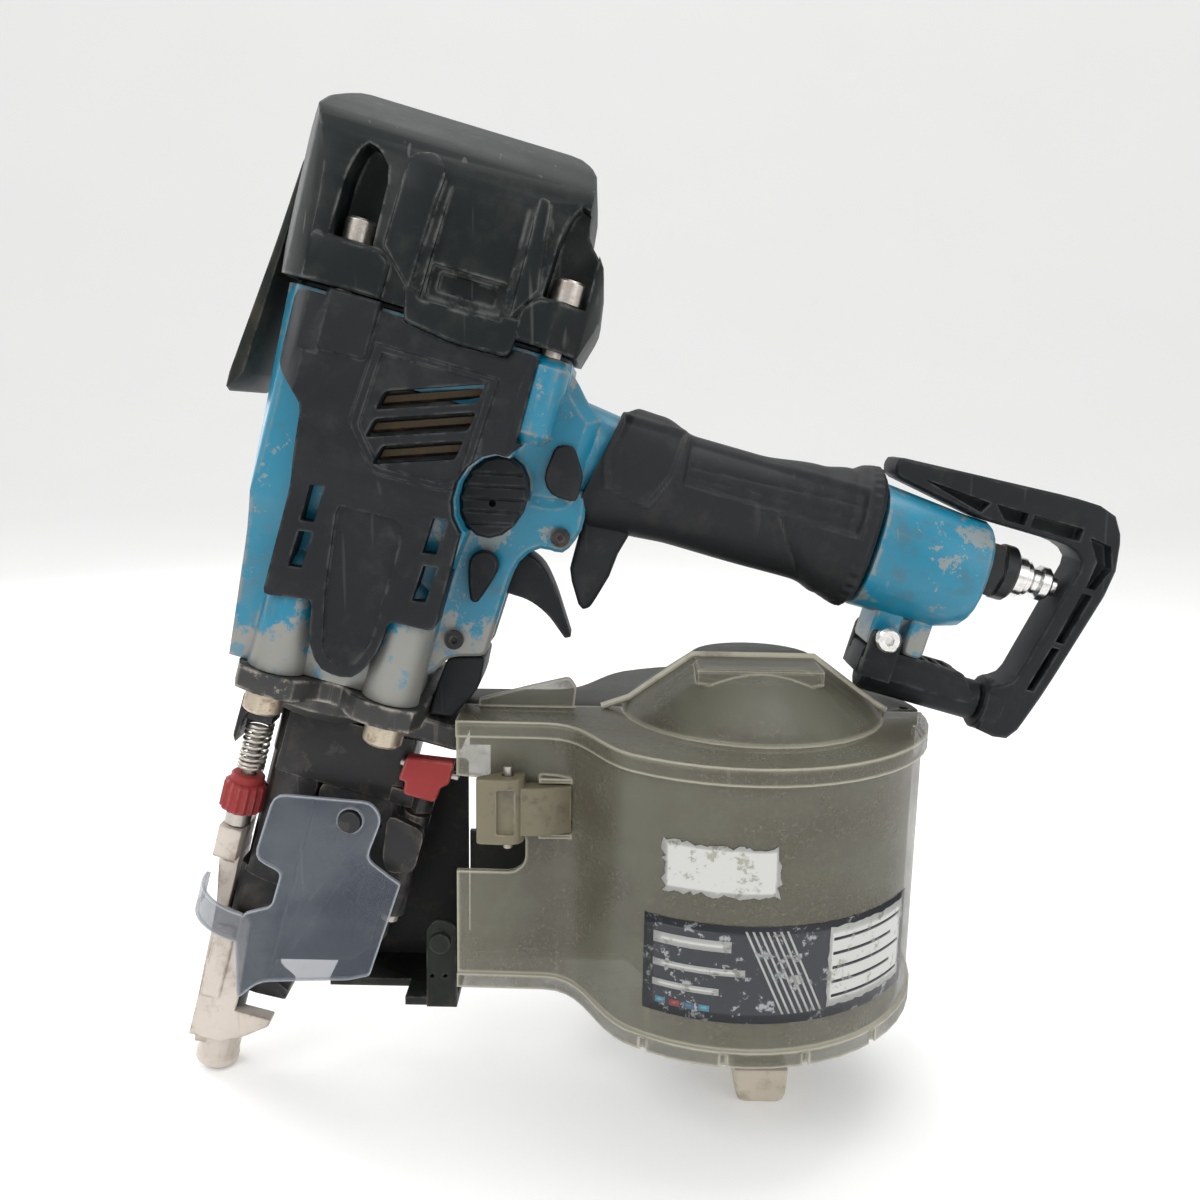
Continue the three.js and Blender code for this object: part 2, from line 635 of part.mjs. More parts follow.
/** The fixed half of the nose: the driver's barrel and the back plate of the feed slot. */
function noseGuide() {
  const upper = slab(
    outline([[-5, -9, 4], [6, -13, 3], [14, -13, 2], [14, 14, 2], [-2, 14, 5], [-6.6, 8, 4]]), 78, 140.7,
  );
  const head = slab(outline([[-2, -13, 3], [42, -13, 3], [42, 15, 3], [-4, 15, 4]]), 118, 140.7);
  const backPlate = sidePlate(
    outline([[10, 60], [44, 52, 2], [48, 60, 2], [47, 100, 2], [43, 119, 2], [10, 119]]), 6, 14,
  );
  const lower = slab(rectangle(-6.5, -8, 13, 9, 3.5), 40, 80);
  const beak = sidePlate(
    outline([[-3, 41], [-2, 33, 1], [9, 31.6, 1], [20, 32, 1], [20, 35.5, 1], [13, 39, 3], [13, 44]]), -5, 5,
  );
  const barrelEnd = rod(5.6, 27, [0, 0, 14.5], "z", 14);
  const hingeLug = slab(
    outline([[38, -14.4], [46, -14.4], [48, -17.6, 2], [53, -15, 3], [53, -9, 3], [48, -6], [38, -6]]), 118,
    123.5,
  );
  const bore = rod(4.3, 140, [0, 0, 10], "z", 14);
  const feedSlot = block(0, 60, -4.4, 4.6, 44, 130);
  const nearPocket = block(14, 60, -30, 5.9, 40, 117.9);
  const [rodX, rodY] = CONTACT_ROD;
  return cut(
    join(upper, head, backPlate, lower, beak, barrelEnd, hingeLug), bore, feedSlot, nearPocket,
    rod(7.8, 43.2, [rodX, rodY, 80], "z", 20), rod(5.4, 40, [rodX, rodY, 110], "z", 16),
    rod(2.1, 20, [...DOOR_HINGE, 110], "z", 12),
  );
}

/** The boss that holds the upper end of the contact spring. */
function springBracket() {
  const [x, y] = CONTACT_ROD;
  const arm = slab(
    outline([[x - 6, y - 6, 4], [x + 5, y - 6, 1], [x + 5, y + 4, 1], [x - 6, y + 6, 4]]), 133, 140.6,
  );
  const hookEdge = sidePlate(
    outline([[-17, 141], [-17.4, 126, 1], [-16.2, 124], [-15.4, 132, 1], [-13, 141]]), y - 6, y + 6,
  );
  return cut(join(arm, hookEdge), rod(2.9, 30, [x, y, 122], "z", 12), rod(5.4, 20, [x, y, 112.5], "z", 16));
}

/** The sliding contact: strap, rod eye and the tube that meets the work. */
function contactArm() {
  const tip = turned(
    [[5.95, 0], [TIP_RADIUS - 0.6, 0], [TIP_RADIUS, 0.8], [TIP_RADIUS, 3.4], [TIP_RADIUS - 0.5, 4.2],
      [TIP_RADIUS - 0.5, 18], [5.95, 18]],
    [0, 0, 0], "z", 18,
  );
  const strap = sidePlate(
    outline(
      [
        [-7.6, 8], [-2, 9], [-2, 27], [-7.3, 31, 1], [-7.3, 60, 2], [-7.6, 84, 1], [-14.4, 90, 2],
        [-14.6, 80, 3], [-11.5, 62, 3], [-10.2, 24, 3],
      ],
    ),
    -6, 6,
  );
  const cheek = (side) =>
    sidePlate(
      outline([[-9, 14], [2, 14], [4.5, 24], [4.5, 34, 1], [2.5, 62, 2], [-9, 64, 2]]), side * 9.4,
      side * 11.2,
    );
  const cheekFoot = (side) => slab(
    outline([[-9.5, side * 4], [3, side * 4], [3, side * 11.2], [-6, side * 11.2, 2], [-9.5, side * 8, 1]]),
    14, 22,
  );
  const panel = sidePlate(rectangle(-8.4, 30, -1.6, 58, 1), -12, -9.6, 0.4);
  const prong = sidePlate(
    outline([[2, 14], [8.5, 17, 3], [17.5, 24.5, 1], [17.5, 26.8, 0.6], [2, 26.8]]), -11.2, -5.7,
  );
  const eye = slab(rectangle(-15.4, -12.4, -7.2, 4, 1), 82, 93);
  const bores = [rod(5.95, 40, [0, 0, -2], "z", 14), rod(2.6, 30, [...CONTACT_ROD, 78], "z", 12)];
  return cut(
    join(tip, strap, cheek(-1), cheek(1), cheekFoot(-1), cheekFoot(1), panel, prong, eye), ...bores,
    rod(TIP_RADIUS + 1.5, 20, [0, 0, 24.2], "z", 12), block(-6.9, 20, -9.3, 9.3, 27, 70),
  );
}

const contactRod = () =>
  turned(
    [[0, 0], [2.3, 0], [2.3, 12], [4.4, 12.4], [4.4, 16.6], [2.3, 17], [2.3, 47], [0, 47]],
    [...CONTACT_ROD, 81.6], "z", 12,
  );

/** The thumbwheel that sets the depth, with ribs all round. */
function depthDial() {
  const ribs = 16;
  const shape = new THREE.Shape();
  for (let i = 0; i < 2 * ribs; i++) {
    const angle = (i / ribs) * Math.PI;
    const radius = i % 2 ? 6.7 : 7.3;
    shape[i ? "lineTo" : "moveTo"](radius * Math.cos(angle), radius * Math.sin(angle));
  }
  const wheel = slab(shape, 0, 10.4, 0.8).translate([...CONTACT_ROD, 99]);
  const collar = rod(5.6, 3.4, [...CONTACT_ROD, 108.8], "z", 24, 0.5);
  return cut(join(wheel, collar), rod(2.6, 30, [...CONTACT_ROD, 90], "z", 16));
}

/** The swinging half of the nose, with its stiffening rib and hinge cover. */
function feedDoor() {
  const plate = sidePlate(
    outline([[13.6, 50.5, 1], [40, 57.5, 2], [44.6, 64, 2], [44.9, 98], [41, 117.5, 2], [14.6, 117.5, 2]]),
    -12, -5,
  );
  const rib = sidePlate(outline([[14, 51.5], [17.5, 52.5], [38, 108], [35, 110], [14, 60]]), -13.6, -11.5);
  const boss = rod(5.2, 7, [22.5, -15, 100], "y", 16);
  const knuckle = rod(4.6, 37, [...DOOR_HINGE, 80], "z", 16);
  const cover = sidePlate(
    outline([[39.6, 116.6, 3], [53, 114, 3], [53, 99, 3], [44, 96.4, 3], [41.5, 102, 2]]), -21, -17.3,
  );
  const window = sidePlate(outline([[30, 80, 2], [36, 78, 2], [37, 96, 2]]), -20, 0);
  return cut(
    join(plate, rib, boss, knuckle, cover), rod(2.1, 60, [...DOOR_HINGE, 60], "z", 12), window,
    rod(2, 30, [22.5, -30, 100], "y", 8),
  );
}

const doorHingePin = () =>
  turned([[0, 0], [3, 0], [3, 2], [1.8, 2.2], [1.8, 46], [0, 46]], [...DOOR_HINGE, 77], "z", 12);

/** The red latch that locks the door, turning on its own cross pin. */
function doorLatch() {
  const face = sidePlate(
    outline(
      [
        [40.6, 137, 1.2], [56.2, 139.5, 1.2], [56.4, 131.5, 1.2], [54, 130, 1], [53.6, 124.4, 1.5],
        [42.5, 124.4, 1.5], [42.4, 129, 1], [40, 128.6, 1],
      ],
    ),
    -20.4, -14.8, 0.5,
  );
  const hub = rod(3.2, 12, [43.4, 0, 0], "x", 16).translate([0, -15.4, 133.5]);
  return cut(join(face, hub), rod(1.7, 40, [36, -15.4, 133.5], "x", 12));
}

const doorLatchPin = () => rod(1.4, 20, [38.8, -15.4, 133.5], "x", 12, 0.3);

/** The clear plate that shields the nose and wraps round its front. */
function clearGuard() {
  const plate = sidePlate(
    outline([[2.6, 114.5, 4], [34, 120.5, 4], [38.6, 116, 3], [37, 101, 3], [46, 97], [50, 95.5, 1], [48, 61, 1], [41.5, 57.5, 1],
      [12.5, 48.5, 4], [7, 40, 3], [2, 60], [2, 71, 2], [10.6, 76, 2], [11, 88.6, 2], [1.2, 91, 4]]),
    -24.4, -23, 0, 3,
  );
  const band = slab(
    (() => {
      const shape = new THREE.Shape();
      shape.absarc(2, -4.2, 20.2, Math.PI * 1.5, Math.PI * 0.97, true);
      shape.absarc(2, -4.2, 18.9, Math.PI * 0.97, Math.PI * 1.5, false);
      return shape;
    })(),
    60.5, 70.5, 0, 10,
  );
  const boltHole = rod(4, 10, [28.7, -28, 112.5], "y", 16);
  return cut(join(plate, band), boltHole);
}

/** The round headed bolt and spacer that hold the clear plate. */
function guardBolt([x, z], radius) {
  return turned(
    [[0, 0], [radius, 0], [radius, 1.6], [1.5, 1.7], [1.5, 12], [0, 12]], [x, -26.2, z], "y", 16,
  );
}

/** The feed channel between the nose and the magazine: two walls on a floor (magazine frame). */
function feedChannel() {
  const farWall = sidePlate(
    outline(
      [
        [-141, 33.5, 2], [-93.8, 33.5, 2], [-93.8, 112, 2], [-106, 112, 3], [-109, 90, 3], [-132, 66, 4],
        [-141, 58, 2],
      ],
    ), 14.5, 16.5,
  );
  const nearWall = sidePlate(
    outline([[-104.4, 33.5], [-94, 33.5], [-94, 64, 2], [-101, 66, 2], [-104.2, 62, 1]]), -17, -14.5,
  );
  const floor = sidePlate(rectangle(-141, 33.5, -94, 36.5), -4, 16);
  const nearFloor = sidePlate(rectangle(-112, 33.5, -94, 36.5), -16, 0);
  const boss = rod(3.6, 3.5, [-99.4, -19.4, 58], "y", 16);
  const railHoles = [-107, -102.5, -98].map((x) => rod(0.9, 10, [x, -22, 45], "y", 8));
  return cut(join(farWall, nearWall, floor, nearFloor, boss), ...railHoles);
}

/** The feed cylinder on the far side and its piston with the pawl. */
const feedCylinder = () =>
  cut(
    join(
      turned([[0, 0], [8, 0], [9.2, 1.2], [9.2, 30], [8, 31], [0, 31]], [30, 26, 100], "x", 20),
      slab(rectangle(32, 14.4, 44, 24, 1), 94, 106, 0.5),
    ),
    rod(6.3, 30, [26, 26, 100], "x", 16),
  );

function feedPawl() {
  const stem = rod(2.4, 26, [14, 26, 100], "x", 16);
  const head = rod(6, 4, [38, 26, 100], "x", 24);
  const claw = slab(outline([[6, 14.6], [20, 14.6], [20, 28, 2], [12, 28, 2], [6, 20, 2]]), 82, 108, 0.6);
  return join(stem, head, claw);
}

// ---- Trigger and small controls -----------------------------------------------------------------

function trigger() {
  const [x, z] = TRIGGER_PIVOT;
  const blade = outline([
    [x - 4, z - 3, 3], [x - 3, z + 6, 3], [x + 6, z + 7, 3], [x + 17, z + 5, 5], [x + 24, z - 3, 6], [x + 33.6, z - 17.5, 0.8],
    [x + 31.6, z - 18.5, 0.6], [x + 23.5, z - 11.5, 6], [x + 16, z - 8.6, 6], [x + 8, z - 8.8, 5],
  ]);
  const body = sidePlate(blade, -7.4, 7.4, 0.5, 4);
  const taper = slab(outline([[30, -8], [66, -8, 6], [84, -4.2], [84, 4.2], [66, 8, 6], [30, 8]]), 170, 230);
  return cut(common(body, taper), rod(2.2, 30, [x, -15, z], "y", 16));
}

const triggerPin = () => rod(1.9, 29, [TRIGGER_PIVOT[0], -14.6, TRIGGER_PIVOT[1]], "y", 16, 0.4);

const triggerValve = () =>
  turned([[0, 0], [1.6, 0], [1.6, 5], [3.6, 5.4], [3.6, 16], [0, 16]], [63, 0, 213.2], "z", 16);

/** The teardrop lever that picks single or contact firing. */
function modeLever() {
  const [x, z] = TRIGGER_PIVOT;
  const drop = new THREE.Shape();
  drop.absarc(x, z, 4.8, -Math.PI * 0.1, Math.PI * 1.1, false);
  drop.quadraticCurveTo(x - 3.6, z - 6, x - 1.4, z - 11.6);
  drop.quadraticCurveTo(x, z - 13, x + 1.4, z - 11.6);
  drop.quadraticCurveTo(x + 3.6, z - 6, x + 4.57, z - 1.48);
  return sidePlate(drop, -19.4, -15.5, 0.8, 5);
}

function dusterButton() {
  const button = sidePlate(dusterOutline(0), -25.6, -19, 1);
  const grooves = [-8, -4, 0, 4, 8].map((dz) =>
    sidePlate(outline([[34, 223.6 + dz], [60, 229.6 + dz], [60, 230.5 + dz], [34, 224.5 + dz]]), -27, -25),
  );
  return cut(button, ...grooves, rod(1.1, 6, [46.6, -27, 225.6], "y", 12));
}

/** The rubber pad on the neck of the housing, one on each side. */
function neckPad(side) {
  const face = outline(
    [[60.5, 248, 2], [66, 249.5, 2], [71.5, 241, 2], [71.5, 232.5, 2], [63, 232.5, 3], [59.3, 237, 3]],
  );
  return cut(sidePlate(face, side * 16, side * 21.4, 0.6), loft(handleRings(GAP)), neckClearance());
}

const neckClearance = () =>
  sidePlate(outline([[30, 222], [70.3, 228], [72.4, 259.4], [66, 264], [30, 276]]), -19 - GAP, 19 + GAP);

/** A small countersunk screw in the trigger bracket. */
const bracketScrew = ([x, z]) =>
  cut(
    turned([[0, 0], [3.2, 0], [3.2, 1], [1.5, 1.8], [0, 1.8]], [x, -17.1, z], "y", 16),
    rod(1.3, 2, [x, -18, z], "y", 6),
  );

/** The black cover between the bracket and the flange. */
function linkCover() {
  const side = outline(
    [[44.6, 171.2, 2], [56.4, 174.8, 1.5], [57.2, 164, 3], [51.4, 152, 1], [43.6, 151, 1], [43.4, 160, 2]],
  );
  return sidePlate(side, -13, 13, 0.6);
}

// ---- Grip, end cap and air plug -----------------------------------------------------------------

const gripRings = () => [
  { x: GRIP_START - 1.5, z: 245, high: 18.8, wide: 16.9, lean: 0.2 },
  { x: GRIP_START + 4, z: 245.2, high: 21, wide: 18, lean: 0.16 },
  { x: 90, z: 245.6, high: 20.4, wide: 18.4 },
  { x: 104, z: 244.4, high: 18.2, wide: 17.6 },
  { x: 124, z: 244.4, high: 18.3, wide: 17.4 },
  { x: 146, z: 245.8, high: 19.4, wide: 17.6 },
  { x: 156, z: 246, high: 21, wide: 18.6 },
  { x: 161, z: 246, high: 23.4, wide: 20.6 },
  { x: GRIP_END - 2, z: 246, high: 23.8, wide: 21 },
  { x: GRIP_END, z: 245.8, high: 22, wide: 19.6 },
];

function rubberGrip() {
  const tongue = sidePlate(
    outline(
      [
        [74.6, 232, 2], [75.2, 209, 4], [81.5, 198.6, 2], [85.4, 198.2, 2], [88.5, 210, 4], [90, 224, 6],
        [96, 232],
      ],
    ),
    -8.4, 8.4, 0.4,
  );
  const slot = block(60, 81.5, -5.4, 5.4, 180, 216);
  const bracketRoom = sidePlate(
    outline([[60, 205], [73, 213.8], [76.6, 223.8], [74.8, 238], [60, 238]]), -15.5, 15.5,
  );
  return cut(
    join(loft(gripRings(), 20), tongue), loft(handleRings(GAP), 16), slot, bracketRoom, neckPadRoom(),
  );
}

const neckPadRoom = () => block(50, 72.4, -30, 30, 225, 260);

function handleEndCap() {
  const shell = loft([
    { x: GRIP_END + 1.4, z: 244.6, high: 21, wide: 20.6, square: 2.3 },
    { x: 196, z: 243.4, high: 19.6, wide: 20.4, square: 2.3 },
    { x: 203.2, z: 244.4, high: 18.4, wide: 19.4, square: 2.3 },
    { x: END_CAP_END, z: 244.6, high: 17.2, wide: 18.2, square: 2.3 },
  ], 22);
  const lug = (x0, x1) => sidePlate(outline([[x0, 232], [x0, 213, 2], [x1, 213, 2], [x1, 232]]), -9, 9, 0.8);
  const bore = rod(10.2, 60, [160, 0, PLUG_Z - 1.5], "x", 16);
  const crossHole = rod(2.4, 30, [181.5, -15, 217], "y", 16);
  return cut(join(shell, lug(176.4, 186), lug(189, 196)), bore, crossHole);
}

function plugBushing() {
  const hex = rod(10, 8, [END_CAP_END + GAP, 0, PLUG_Z], "x", 6, 0.8);
  const ring = turned(
    [[0, 0], [8.6, 0], [9.4, 0.8], [9.4, 4.4], [8.6, 5.2], [0, 5.2]], [END_CAP_END + 8, 0, PLUG_Z], "x", 20,
  );
  return cut(join(hex, ring), rod(4.3, 30, [END_CAP_END - 5, 0, PLUG_Z], "x", 14));
}

/** The quick-fit air plug with its stepped nose. */
function airPlug() {
  const end = PLUG_END - END_CAP_END;
  const profile = [
    [2.6, 1], [4, 1], [4, 13.8], [6.8, 13.8], [6.8, 17.2], [6, 17.6], [6, 19], [4.6, 20.4], [4.6, 22], [5.9, 23],
    [5.9, 25.6], [5.2, 26.4], [3.4, 27], [3.4, end], [2.6, end],
  ];
  return turned(profile, [END_CAP_END, 0, PLUG_Z], "x", 14);
}

// ---- Hook ---------------------------------------------------------------------------------------

function hookTube() {
  const tube = rod(HOOK_TUBE, 41, [179.6, 0, HOOK_AXIS_Z], "x", 16, 0.8);
  const saddle = sidePlate(
    outline([[176.6, 203], [176.6, 211.5, 2], [178, 212.6, 1], [212, 212.6, 3], [218, 205, 2], [218, 203]]),
    -7.4, 7.4,
  );
  const ribs = [0, 1, 2, 3].map((i) => block(196.5 + 4.2 * i, 199.5 + 4.2 * i, -5, 5, 209.8, 216));
  const clampEars = [-1, 1].map(
    (side) => sidePlate(
      outline([[176.8, 204], [176.8, 219, 2], [187, 219, 2], [187, 204]]), side * 9.4, side * 12.4,
    ),
  );
  const earFoot = slab(rectangle(176.8, -12.4, 187, 12.4), 203, 208.6);
  const crossHole = rod(2.4, 40, [181.5, -20, 217], "y", 16);
  return cut(
    join(tube, saddle, ...clampEars, earFoot), ...ribs, crossHole,
    rod(4.3, 60, [190, 0, HOOK_AXIS_Z], "x", 14),
  );
}

/** The screw through the hook clamp and the end cap's lug. */
const hookScrew = () =>
  cut(
    turned(
      [[0, 0], [3.4, 0], [4.2, 0.8], [4.2, 3], [1.9, 3.2], [1.9, 29], [0, 29]], [181.5, -15.8, 217], "y", 14,
    ),
    rod(1.8, 2, [181.5, -16.4, 217], "y", 6),
  );

/** The D-shaped hanging hook, ribbed on both sides, with its shaft in the tube. */
function hookLoop() {
  const outer = outline([
    [222, HOOK_AXIS_Z - 8], [234, HOOK_AXIS_Z - 10, 7], [239.5, 212, 14], [249.5, 259, 16], [243, 277.4, 12],
    [228, 278, 6], [167.6, 274.6, 2], [167.6, 268.4, 3], [201, 262.8, 3], [230, 262.8, 7], [237, 259.5, 6],
    [228.6, 214, 5], [222, 211, 2],
  ]);
  const beam = sidePlate(outer, -8, 8, 0.8);
  const pocket = (side, corners) => sidePlate(outline(corners), side * 3, side * 10, 0, 1);
  const pockets = [-1, 1].flatMap((side) => HOOK_POCKETS.map((corners) => pocket(side, corners)));
  const collar = rod(9.2, 6.4, [221.2, 0, HOOK_AXIS_Z], "x", 20, 0.8);
  const shaft = rod(4, 28, [195, 0, HOOK_AXIS_Z], "x", 14);
  return join(cut(beam, ...pockets), collar, shaft);
}

const HOOK_POCKETS = [
  [[178, 270], [201, 268.6], [199, 264.8]],
  [[203, 268.8], [214, 268.8], [214, 264.8], [207, 264.8]],
  [[216, 268.8], [233, 269], [233, 264.8], [216, 264.8]],
  [[236, 267], [243.5, 266], [246.5, 259], [243.5, 251], [240.5, 251], [241, 260]],
  [[240, 249], [243.5, 249], [240, 231], [237, 231]],
  [[236.6, 229], [239.4, 229], [236, 213], [233.4, 213]],
];

// ---- Magazine (magazine frame) ------------------------------------------------------------------

/** Half of the magazine's plan on one side of the split, shrunk by an inset. */
function magazinePlan(side, inset, end = CHANNEL_END) {
  const radius = DRUM - inset;
  const half = CHANNEL_HALF - inset;
  const joinAngle = THREE.MathUtils.degToRad(234);
  const shape = new THREE.Shape();
  shape.moveTo(end, -GAP / 2);
  shape.lineTo(end, -half);
  shape.lineTo(-64, -half - 0.6);
  shape.bezierCurveTo(
    -50, -half - 1, radius * Math.cos(joinAngle) - 11, radius * Math.sin(joinAngle) + 9,
    radius * Math.cos(joinAngle), radius * Math.sin(joinAngle),
  );
  shape.absarc(0, 0, radius, joinAngle, 2 * Math.PI - Math.asin(GAP / 2 / radius), false);
  shape.closePath();
  if (side < 0) return shape;
  return new THREE.Shape(shape.getPoints(MAGAZINE_STEPS).map(({ x, y }) => new THREE.Vector2(x, -y)));
}
const MAGAZINE_STEPS = 9;

/** The half dome over the drum, from its base ring to its flat top. */
function dome(side, inset) {
  const { x, base, top, z } = DOME;
  const profile = [[0, 120], [base + 3 - inset, 120], [base + 3 - inset, LID_RIDGE + 1 - inset], [base - inset, 141 - inset],
    [top - inset, z - inset], [0, z - inset]];
  const whole = turned(profile, [x, 0, 0], "z", 32);
  return common(whole, halfSpace(side, 200));
}

const halfSpace = (side, reach) =>
  side < 0 ? block(-reach, reach, -reach, -GAP / 2, -10, 400) : block(
    -reach, reach, GAP / 2, reach, -10, 400,
  );

/** One half shell of the magazine, open towards the split plane and the feed channel. */
function magazineShell(side) {
  const layer = (inset, z0, z1, end) => slab(magazinePlan(side, inset, end), z0, z1, 0, MAGAZINE_STEPS);
  const notches = [-120, -97, -74, -50].map((angle) => {
    const [c, s] = [Math.cos(THREE.MathUtils.degToRad(angle)), Math.sin(THREE.MathUtils.degToRad(angle))];
    return block(
      63 * c - 1, 63 * c + 1, -side * 63 * s - 1.4, -side * 63 * s + 1.4, DRUM_BOTTOM - 1, DRUM_BOTTOM + 4,
    );
  });
  const rim = cut(layer(-1.3, DRUM_BOTTOM, DRUM_BOTTOM + 5), ...notches);
  const outside = join(
    layer(0, DRUM_BOTTOM, LID_RIDGE), layer(-1.8, DRUM_TOP, LID_RIDGE), rim, dome(side, 0),
  );
  const inside = join(
    common(slab(innerPlan(side), DRUM_BOTTOM + WALL, LID_RIDGE - WALL), halfSpace(0 + side, 300)),
    dome(side, WALL),
  );
  return cut(outside, inside);
}

/** The inside of a half, carried past the split plane and the channel's end. */
function innerPlan(side) {
  const points = magazinePlan(side, WALL, CHANNEL_END - 10).getPoints(MAGAZINE_STEPS);
  const moved = points.map(({ x, y }) => new THREE.Vector2(x, Math.abs(y) < 1 ? -side : y));
  return new THREE.Shape(moved);
}

const POST = [0, 0];

function magazineCover() {
  const knuckles = [[60, 74], [106, 120]].map(
    ([z0, z1]) => rod(3.1, z1 - z0, [HINGE[0], HINGE[1], z0], "z", 16),
  );
  const straps = [[60, 74], [106, 120]].map(([z0, z1]) => block(57.2, 61.6, -2.4, 4, z0, z1));
  const flap = sidePlate(
    outline([[-88, 136], [-55.5, 136], [-54.6, 144, 1], [-57, 147.5, 1.5], [-70, 144.4, 8], [-88, 139.4, 1]]),
    -2.6, -GAP / 2,
  );
  const notch = sidePlate(
    outline(
      [
        [-110, 84.5], [-74, 84.5, 3], [-70.5, 88, 2], [-70.5, 97, 1], [-82.5, 99, 1], [-82.5, 117, 3],
        [-110, 119],
      ],
    ), -60, 10,
  );
  const tab = common(
    slab(rectangle(-15.5, -22.4, 25.5, -8, 1), 146, DOME.z, 0.5), sidePlate(
      outline([[-17, 151], [27, 151], [25.4, 156.5], [-15.4, 156.5]]), -30, 0,
    ),
  );
  const ribs = [99, 118].map(
    (z) => sidePlate(outline([[-66, z - 0.8], [-48, z - 0.6], [-48, z + 0.6], [-66, z + 0.8]]), -23.6, -19),
  );
  return cut(
    join(magazineShell(-1), ...knuckles, ...straps, flap, tab, ...ribs), notch, rod(
      1.7, 100, [HINGE[0], HINGE[1], 50], "z", 16,
    ),
    rod(17, 20, [...POST, 30], "z", 20), rod(2, 60, [-76, -23.6, 85], "z", 12),
  );
}

function magazineBody() {
  const [hx, hy] = HINGE;
  const pockets = [[57.4, 74.6], [105.4, 120.6]].map(([z0, z1]) => block(54, 70, -5, hy + 4, z0, z1));
  const hingeRoom = cut(block(56.6, 70, -5, 2.6, 30, 139), block(56, 63, 1.2, 8, 76, 104));
  const knuckle = rod(3.1, 27, [hx, hy, 76.5], "z", 16);
  const hub = slab(
    new THREE.Shape().absarc(...POST, 16.5, 0, 2 * Math.PI), DRUM_BOTTOM, DRUM_BOTTOM + WALL, 0, 12,
  );
  const post = turned([[0, 0], [7.6, 0], [7, 60], [5.6, 62], [0, 62]], [...POST, DRUM_BOTTOM + 1], "z", 16);
  const leg = sidePlate(
    outline([[2, DRUM_BOTTOM + 0.5], [5, 12.5], [19, 12.5], [24, DRUM_BOTTOM + 0.5]]), -15, 17, 1,
  );
  const legTop = slab(rectangle(0, GAP, 27, 24, 3), DRUM_BOTTOM - 4, DRUM_BOTTOM + 0.5);
  const notch = block(-110, -86, 0, 40, 84, 117);
  return cut(
    join(
      cut(join(magazineShell(1), hub), ...pockets, hingeRoom, notch), post,
      cut(leg, block(-10, 40, -20, GAP, DRUM_BOTTOM - 4.6, 60)), legTop, cut(knuckle, rod(1, 1, [hx, hy, 0])),
    ),
    rod(1.7, 100, [hx, hy, 50], "z", 16),
  );
}

const magazineHingePin = () => turned(
  [[0, 0], [2.8, 0], [2.8, 1.4], [1.4, 1.6], [1.4, 64], [0, 64]], [...HINGE, 58], "z", 16,
);

const magazineFoot = () => sidePlate(
  outline([[2.6, 12.2], [21.4, 12.2], [20.4, 0, 3], [3.6, 0, 3]]), -18, 18, 0.6,
);

/** The shelf that carries the nail coil and steps up and down the post. */
function nailSupport() {
  const shelf = turned([[8, 0], [38, 0], [38, 2.4], [12, 2.4], [12, 14], [8, 14]], [...POST, 50], "z", 20);
  return cut(shelf, block(26, 40, -3, 3, 48, 54), block(-40, -26, -3, 3, 48, 54));
}

/** The cream latch that clips the cover shut. */
function coverLatch() {
  const barrelPart = slab(
    outline([[-86, -29, 3], [-74, -29.5, 3], [-70.5, -27, 2], [-70.5, -20.4], [-78, -20.4], [-86, -25.6]]),
    98, 120, 0.4,
  );
  const handle = slab(
    outline([[-72, -27.5], [-66, -27.5, 2], [-50.5, -22.4, 1], [-50.5, -20.6], [-72, -20.6]]), 100.4, 116.6,
    0.4,
  );
  const window = sidePlate(rectangle(-79.2, 101.5, -73.6, 116.5, 0.6), -35, -27.6);
  const wall = slab(magazinePlan(-1, -GAP - 0.1), 90, 130, 0, MAGAZINE_STEPS);
  return cut(join(barrelPart, handle), window, wall, rod(2, 60, [-76, -23.6, 85], "z", 12));
}

const coverLatchPin = () => rod(1.6, 28, [-76, -23.6, 95], "z", 12, 0.3);

